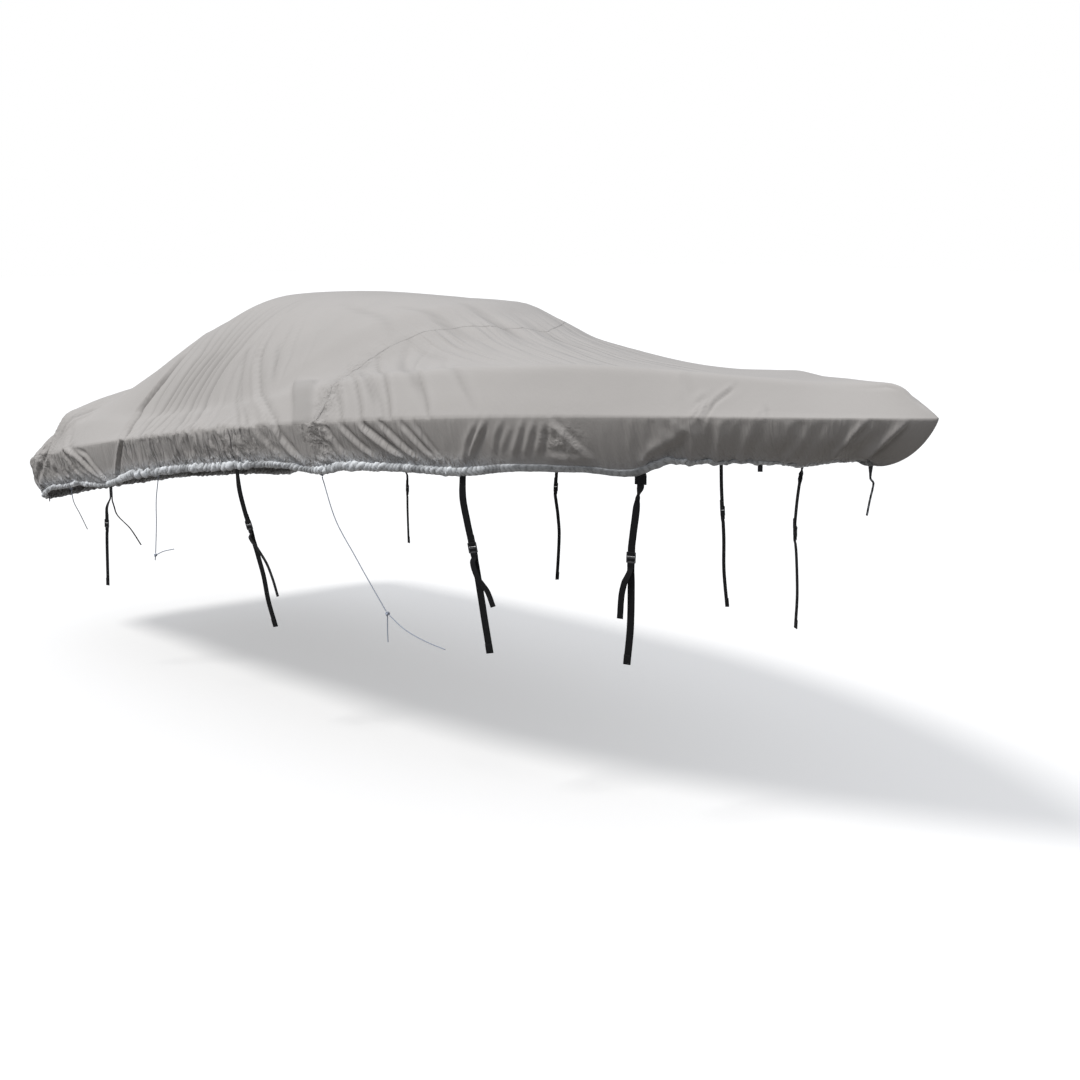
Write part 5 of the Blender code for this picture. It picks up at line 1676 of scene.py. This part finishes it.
def buckle_mesh(name, part):
    """A moulded frame of two rails and three bars: rows and columns of a plate with two
    slots left out, arched across its width by one minus the square of the way out."""
    width, bar, rail = part["width"], BUCKLE_BAR, BUCKLE_RAIL
    slot = (BUCKLE_LENGTH - 3 * bar) / 2
    inner = np.linspace(-width / 2, width / 2, 7)
    outer = np.array([width / 2 + rail / 2, width / 2 + rail])
    columns = np.concatenate([-outer[::-1], inner, outer])
    rows = np.array([0, bar / 2, bar, bar + slot / 2, bar + slot, 1.5 * bar + slot, 2 * bar + slot,
                     2 * bar + 1.5 * slot, 2 * bar + 2 * slot, 2.5 * bar + 2 * slot, BUCKLE_LENGTH])
    in_slot = np.array([2, 3, 6, 7])
    across, down = np.meshgrid(columns, rows, indexing="xy")
    arch = BUCKLE_ARCH * (1 - (2 * across / (width + 2 * rail)) ** 2)
    base = part["centre"] + part["axis"] * -BUCKLE_LENGTH / 2
    points = (base + part["wide"] * across[..., None] + part["axis"] * down[..., None]
              + part["outward"] * arch[..., None])
    index = np.arange(across.size).reshape(across.shape)
    quads = grid_quads(index).reshape(len(rows) - 1, len(columns) - 1, 4)
    keep = np.ones(quads.shape[:2], bool)
    keep[in_slot, 2:-2] = False
    used, faces = np.unique(quads[keep], return_inverse=True)
    return made_mesh(name, points.reshape(-1, 3)[used], faces.reshape(-1, 4).tolist())


def fold_back(line, outward, length, gap=0.0032):
    """The end of a strap turned back on itself: a half turn, and a stretch back up."""
    end = line[-1]
    way = unit(line[-1] - line[-2])
    angle = np.linspace(0, math.pi, 7)[:, None]
    bend = end + way * np.sin(angle) * gap / 2 - outward * (1 - np.cos(angle)) * gap / 2
    back = bend[-1] - way * np.linspace(0.15, 1, 5)[:, None] * length
    return np.concatenate([bend, back])


# Webbing round a buckle's bars, in steps down the tie and outward: over the top bar, down in
# its slot and up again behind the bar; and up behind the plies and over the middle bar, where a
# step outward is one ply
TOP_WRAP = [(-0.002, 0.0004), (0.001, 0.0034), (0.004, 0.0052), (0.009, 0.0052),
            (0.015, 0.0042), (0.0188, 0.0014), (0.0188, -0.0012), (0.015, -0.0036),
            (0.009, -0.0040), (0.0, -0.0040), (-0.014, -0.0036), (-0.035, -0.0034)]
MIDDLE_WRAP = [(0.0, 0), (-0.010, 0), (-0.021, 0), (-0.029, 1), (-0.021, 2), (-0.010, 2),
               (0.0, 2), (0.018, 2)]


def laid_out(origin, steps, way, out):
    """Points at steps along two ways from an origin."""
    return origin + np.array(steps) @ np.array([way, out])


class BOATCOVER_OT_straps(bpy.types.Operator):
    """Four webbing ties a side, each sewn in at the hem and set by a ladder-lock buckle"""

    bl_idname = "boatcover.straps"
    bl_label = "Webbing Ties"

    def execute(self, context):
        values = context.scene.boat_cover
        self.look = webbing_look("webbing", tuple(values.webbing_colour))
        self.plastic = plastic_look("buckle_plastic", (0.030, 0.030, 0.033))
        for row in STRAPS:
            for side_name, side in SIDES.items():
                part = strap_parts(row, side)
                name = f"{row['name']}_%s_{side_name}"
                if part["tab"] is not None:
                    self.tab(name, part, row["width"])
                self.upper(name, part, row["twists"])
                self.lower(name, part)
                if side == STARBOARD:
                    self.tail(name, part)
        return {"FINISHED"}

    def webbing(self, name, mesh, *nodes):
        """Adds one piece of webbing."""
        return add_piece(name, mesh, self.look, "webbing", *nodes)

    def tab(self, name, part, width):
        """A short loop of webbing under the hem, begun inside it."""
        tab = part["tab"]
        line = np.concatenate([tab[:1] - (tab[1] - tab[0]) * 1.5, tab])
        mesh = strap_mesh(name % "tab", even(line, 0.004), part["along"], width * TAB_WIDER,
                          TAB_THICKNESS)
        self.webbing(name % "loop", mesh, name % "tab")

    def upper(self, name, part, twists):
        """Webbing from hem to buckle, bunched where it twists, and the buckle on its end."""
        width, wide = part["width"], part["wide"]
        line = even(part["upper"], 0.006)
        run = run_length(line)
        twist = (math.pi * twists * smoothstep((run - 0.01) / 0.09)
                 - part["yaw"] * (1 - smoothstep(run / 0.12)))
        pinch = twists * np.exp(-(((run - 0.062) / 0.032) ** 2))
        mesh = strap_mesh(name % "strap", line, wide, width * (1 - 0.45 * pinch),
                          STRAP_THICKNESS * (1 + 8 * pinch), twist)
        strap = self.webbing(name % "strap", mesh, name % "webbing")
        wrap = even(laid_out(line[-1], TOP_WRAP, unit(line[-1] - line[-2]), part["outward"]), 0.002)
        turn = self.webbing(name % "turn", strap_mesh("turn", wrap, wide, width * 0.97))
        lock = add_piece(name % "ladder_lock", buckle_mesh(name % "ladder_lock", part), self.plastic,
                         "buckle", name % "buckle")
        wall = lock.modifiers.new("Thickness", "SOLIDIFY")
        wall.thickness = BUCKLE_WALL
        wall.offset = 0.0
        edge = lock.modifiers.new("Edges", "BEVEL")
        edge.width = BUCKLE_ROUND
        edge.segments = 2

    def lower(self, name, part):
        """Webbing from buckle to trailer: round the middle bar above, folded back below."""
        width, wide, outward = part["width"], part["wide"], part["outward"]
        line = even(part["lower"], 0.008)
        strap = self.webbing(name % "lower_strap", strap_mesh(name % "lower_strap", line, wide, width),
                             name % "lower_webbing")
        ply = outward * (STRAP_THICKNESS / 2 + PLY_GAP)
        wrap = even(laid_out(line[0], MIDDLE_WRAP, part["axis"], ply), 0.003)
        ends = [strap_mesh("turn", fold_back(line, outward * -1, 0.045), wide, width),
                strap_mesh("loop", wrap, wide, width * 0.94)]
        folded = self.webbing(name % "lower_ends", joined(ends, name % "lower_ends"))

    def tail(self, name, part):
        """The strap's free end, hanging loose."""
        width = part["width"] * TAIL_NARROWER
        line = even(part["tail"], 0.008)
        mesh = strap_mesh(name % "free_end", line, part["along"], width)
        tail = self.webbing(name % "free_end", mesh, name % "tail")


class BOATCOVER_OT_hem_loops(bpy.types.Operator):
    """Spare webbing loops at the hem, and the tab at the bow"""

    bl_idname = "boatcover.hem_loops"
    bl_label = "Hem Loops"

    def execute(self, context):
        look = bpy.data.materials["webbing"]
        for number, (station, width, length) in enumerate(zip(*LOOPS.values()), start=1):
            seat, along, down = hem_frame(station, STARBOARD)
            tab = tab_line(seat + down * GAP, down, np.linspace(0.3, 1.0, 4) * length)
            line = even(np.concatenate([[tab[0] - down * 0.010], tab]), 0.004)
            mesh = strap_mesh(f"spare_loop_{number}", line, along, width, TAB_THICKNESS)
            add_piece(f"spare_loop_{number}", mesh, look, "webbing", f"hem_loop_{number}")
        top, end = bow_tab_ends()
        top[2] += 0.006
        line = even(np.array([top, (top + end) / 2, end]), 0.003)
        width = BOW_TAB_WIDTH * (1 - 0.5 * smoothstep(np.linspace(0, 1, len(line))))
        mesh = strap_mesh("bow_loop", line, SIDEWAYS, width, TAB_THICKNESS)
        add_piece("bow_loop", mesh, look, "webbing", "bow_tab")
        return {"FINISHED"}


# Cords and knots

# A cord's ribs stand LINE_STEP apart, and each end's length is held against SHORTEST_CORD, which changes
# nothing
LINE_STEP = 0.0025
SHORTEST_CORD = 0.04


def laid_tube(name, line, radius, strands=3, pitch=0.016, sides=15, two_tone=False):
    """A ring with a lobe for each strand, carried along the line while the lobes turn."""
    wide, face = ways(line, SIDEWAYS)
    angle = np.arange(sides) / sides * 2 * math.pi
    run = run_length(line)[:, None]
    lobe = np.abs(np.cos((angle[None] + run * 2 * math.pi / pitch) * strands / 2))
    size = radius * (0.78 + 0.22 * lobe)[..., None]
    points = (line[:, None] + wide[:, None] * np.cos(angle)[None, :, None] * size
              + face[:, None] * np.sin(angle)[None, :, None] * size)
    mesh = surface(name, points, wrap=True, caps=True)
    phase = np.floor((angle[None] + run * 2 * math.pi / pitch) * strands / (2 * math.pi) + 0.5)
    strand = np.where(phase % strands == 0, 1.0, 0.0) if two_tone else lobe * 0.0
    point_attribute(mesh, "strand", np.concatenate([strand.ravel(), [0.0, 0.0]]))
    return face_outward(mesh)


def knot_mesh(name, centre, size, radius, tilt):
    """A tightened overhand knot: the closed line (sin t + 2 sin 2t, cos t - 2 cos 2t,
    -1.4 sin 3t), tilted, as a tube with three turning lobes."""
    t = np.linspace(0, 2 * math.pi, 144, endpoint=False)
    line = np.stack([np.sin(t) + 2 * np.sin(2 * t), np.cos(t) - 2 * np.cos(2 * t), -1.4 * np.sin(3 * t)],
                    axis=-1) / 3.0
    spin = np.array(Matrix.Rotation(tilt, 3, "X") @ Matrix.Rotation(tilt * 2, 3, "Z"))
    line = line @ spin.T * (size - radius)
    tangent = unit(np.roll(line, -1, axis=0) - np.roll(line, 1, axis=0))
    out = unit(line - tangent * (line * tangent).sum(axis=1, keepdims=True))
    face = np.cross(tangent, out)
    angle = np.arange(12) / 12 * 2 * math.pi
    lobe = 0.85 + 0.15 * np.abs(np.cos((angle[None] + 18 * t[:, None]) * 1.5))
    ring = radius * lobe[..., None]
    points = centre + line[:, None] + (out[:, None] * np.cos(angle)[None, :, None] * ring
                                       + face[:, None] * np.sin(angle)[None, :, None] * ring)
    index = np.arange(points.shape[0] * points.shape[1]).reshape(points.shape[:2])
    index = np.concatenate([index, index[:1]])
    index = np.concatenate([index, index[:, :1]], axis=1)
    mesh = made_mesh(name, points, grid_quads(index).tolist())
    point_attribute(mesh, "strand", np.zeros(len(mesh.vertices)))
    return face_outward(mesh)


class BOATCOVER_OT_cords(bpy.types.Operator):
    """Thin cords knotted to the hem, and the laid cord at the bow"""

    bl_idname = "boatcover.cords"
    bl_label = "Cords"

    def execute(self, context):
        pale = tuple(context.scene.boat_cover.cord_colour)
        self.look = cord_look("pale_cord", pale, shade(pale, 0.7))
        for row in CORDS:
            self.tie(row)
        exit_point = bow_tab_ends()[1] + DOWN * GAP
        line = even(led(exit_point, DOWN, LEAD, hull(BOW_CORD["route"]), 0.03), 0.003)
        two_tone = cord_look("bow_cord", (0.016, 0.016, 0.018), (0.42, 0.44, 0.47))
        mesh = laid_tube("bow_line", line, BOW_CORD["radius"], pitch=0.030, sides=18, two_tone=True)
        piece = add_piece("bow_line", mesh, two_tone, "webbing", "bow_cord")
        return {"FINISHED"}

    def knot(self, row, place, key, node, radius, tilt):
        """A knot in its node's place, and where its middle is."""
        name = f"{row['name']}_{place}_knot"
        centre = box_centre(node)
        mesh = knot_mesh(name, centre, row[key], radius, tilt)
        return add_piece(name, mesh, self.look, "pale_cord", node), centre

    def cord(self, name, line, row, node):
        """Adds one run of thin cord."""
        mesh = laid_tube(name, line, row["radius"])
        return add_piece(name, mesh, self.look, "pale_cord", node)

    def tie(self, row):
        """One cord from its knot at the hem, with its lower knot and tails where it has them."""
        name, radius = row["name"], row["radius"]
        _, centre = self.knot(row, "top", "knot", f"{name}_knot", 0.0052, 0.6)
        first = centre + DOWN * (row["knot"] + GAP)
        line = even(led(first, DOWN, LEAD, hull(row["route"]), radius * 6), LINE_STEP)
        piece = self.cord(f"{name}_line", line, row, name)
        if "end_knot" in row:
            low_knot, centre = self.knot(row, "low", "end_knot", f"{name}_end_knot", 0.0048, 1.1)
            for number, tail in enumerate(row["tails"], start=1):
                points = hull(tail)
                start = centre + unit(points[0] - centre) * (row["end_knot"] + GAP)
                run = even(through([start] + list(points), radius * 6), LINE_STEP)
                end = self.cord(f"{name}_end_{number}", run, row, f"{name}_tail_{number}")
                length = run_length(run)[-1]
                if length < SHORTEST_CORD:
                    continue


# Stage

# The way to the key light and its angular width, the tints of sky and ground, and the camera's
# place in hull coordinates with how it is turned and pitched
FLOOR_HALF = 80.0
FLOOR_GLOW = 0.38
KEY_WAY = (-0.17, -0.49, 0.855)
KEY_WIDTH = math.radians(14)
SKY_TINT = np.array([0.97, 1.0, 1.06])
GROUND_TINT = np.array([1.06, 1.0, 0.94])
CAMERA_PLACE = (10.44, -5.59, 1.435)
CAMERA_TURN, CAMERA_PITCH = math.radians(51.0), math.radians(10.5)


class BOATCOVER_OT_stage(bpy.types.Operator):
    """Pale floor, soft light and the camera"""

    bl_idname = "boatcover.stage"
    bl_label = "Stage"

    def execute(self, context):
        values = context.scene.boat_stage
        self.floor(context, values)
        self.sky(context, values)
        self.key_light(context, values)
        self.camera(context, values)
        context.scene.view_settings.view_transform = "Standard"
        return {"FINISHED"}

    def floor(self, context, values):
        """A wide square that takes shadows, and that soft bounced light doesn't see."""
        size = FLOOR_HALF
        mesh = bpy.data.meshes.new("floor")
        corners = [(-size, -size), (size, -size), (size, size), (-size, size)]
        mesh.from_pydata([(x, y, values.floor_height) for x, y in corners], [], [(0, 1, 2, 3)])
        floor = bpy.data.objects.new("floor", mesh)
        context.collection.objects.link(floor)
        mesh.materials.append(stage_look("floor_pale", (0.60, 0.60, 0.60), FLOOR_GLOW))
        floor.visible_diffuse = False

    def sky(self, context, values):
        """A soft sky over darker ground, told apart by height; the backdrop itself is white."""
        look = Look("soft_sky", "worlds", "Background")
        context.scene.world = look.material
        sky, ground = SKY_TINT * values.sky, GROUND_TINT * values.ground
        up = look.add("SeparateXYZ", {0: look.add("TexCoord").outputs["Generated"]}).outputs["Z"]
        stops = [(0.46, ground), (0.55, sky * 0.30), (0.72, sky * 0.85), (1.0, sky * 1.25)]
        colours = look.ramp(look.math("MULTIPLY_ADD", up, 0.5, 0.5), stops)
        look.feed(look.shader.inputs["Color"], colours)
        white = look.add("Background", {"Color": (1.0, 1.0, 1.0, 1.0), "Strength": 1.0})
        seen = look.add("LightPath").outputs["Is Camera Ray"]
        blend = look.add("MixShader", {0: seen, 1: look.shader.outputs[0], 2: white.outputs[0]})
        look.feed(look.nodes["World Output"].inputs["Surface"], blend.outputs[0])

    def key_light(self, context, values):
        """A broad sun high over the starboard side."""
        sun = bpy.data.lights.new("key", "SUN")
        sun.energy = values.sun
        sun.angle = KEY_WIDTH
        sun.color = (1.0, 0.985, 0.96)
        lamp = bpy.data.objects.new("key", sun)
        toward = Vector(KEY_WAY).normalized()
        lamp.rotation_euler = toward.to_track_quat("Z", "Y").to_euler()
        lamp.location = toward * 12
        context.collection.objects.link(lamp)

    def camera(self, context, values):
        """The camera off the starboard bow, looking slightly down."""
        data = bpy.data.cameras.new("camera")
        data.lens = values.lens
        camera = bpy.data.objects.new("camera", data)
        level = math.cos(CAMERA_PITCH)
        back = Vector((math.sin(CAMERA_TURN) * level, -math.cos(CAMERA_TURN) * level,
                       math.sin(CAMERA_PITCH)))
        camera.location = Vector(CAMERA_PLACE) - Vector(ORIGIN)
        camera.rotation_euler = back.to_track_quat("Z", "Y").to_euler()
        context.collection.objects.link(camera)
        context.scene.camera = camera


class VIEW3D_PT_boat_cover(bpy.types.Panel):
    """Lists the cover's pieces and its main sizes"""

    bl_label = "Boat Cover"
    bl_space_type = "VIEW_3D"
    bl_region_type = "UI"
    bl_category = "Boat Cover"

    def draw(self, context):
        layout = self.layout
        for group in (context.scene.boat_cover, context.scene.boat_stage):
            for name in group.__annotations__:
                layout.prop(group, name)
        for step in STEPS:
            layout.operator(step.bl_idname)


STEPS = (
    BOATCOVER_OT_stage,
    BOATCOVER_OT_straps,
    BOATCOVER_OT_hem_loops,
    BOATCOVER_OT_cords,
    BOATCOVER_OT_panels,
    BOATCOVER_OT_hem,
    BOATCOVER_OT_seam,
)
CLASSES = (CoverSettings, StageSettings, *STEPS, VIEW3D_PT_boat_cover)


def register():
    """Registers the classes and gives every scene its settings."""
    for made in CLASSES:
        bpy.utils.register_class(made)
    bpy.types.Scene.boat_cover = PointerProperty(type=CoverSettings)
    bpy.types.Scene.boat_stage = PointerProperty(type=StageSettings)


def unregister():
    """Takes the settings and classes away again."""
    del bpy.types.Scene.boat_cover
    del bpy.types.Scene.boat_stage
    for made in reversed(CLASSES):
        bpy.utils.unregister_class(made)


def main():
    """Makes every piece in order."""
    register()
    for step in STEPS:
        group, name = step.bl_idname.split(".")
        getattr(getattr(bpy.ops, group), name)()
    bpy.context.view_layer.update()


if __name__ == "__main__":
    main()
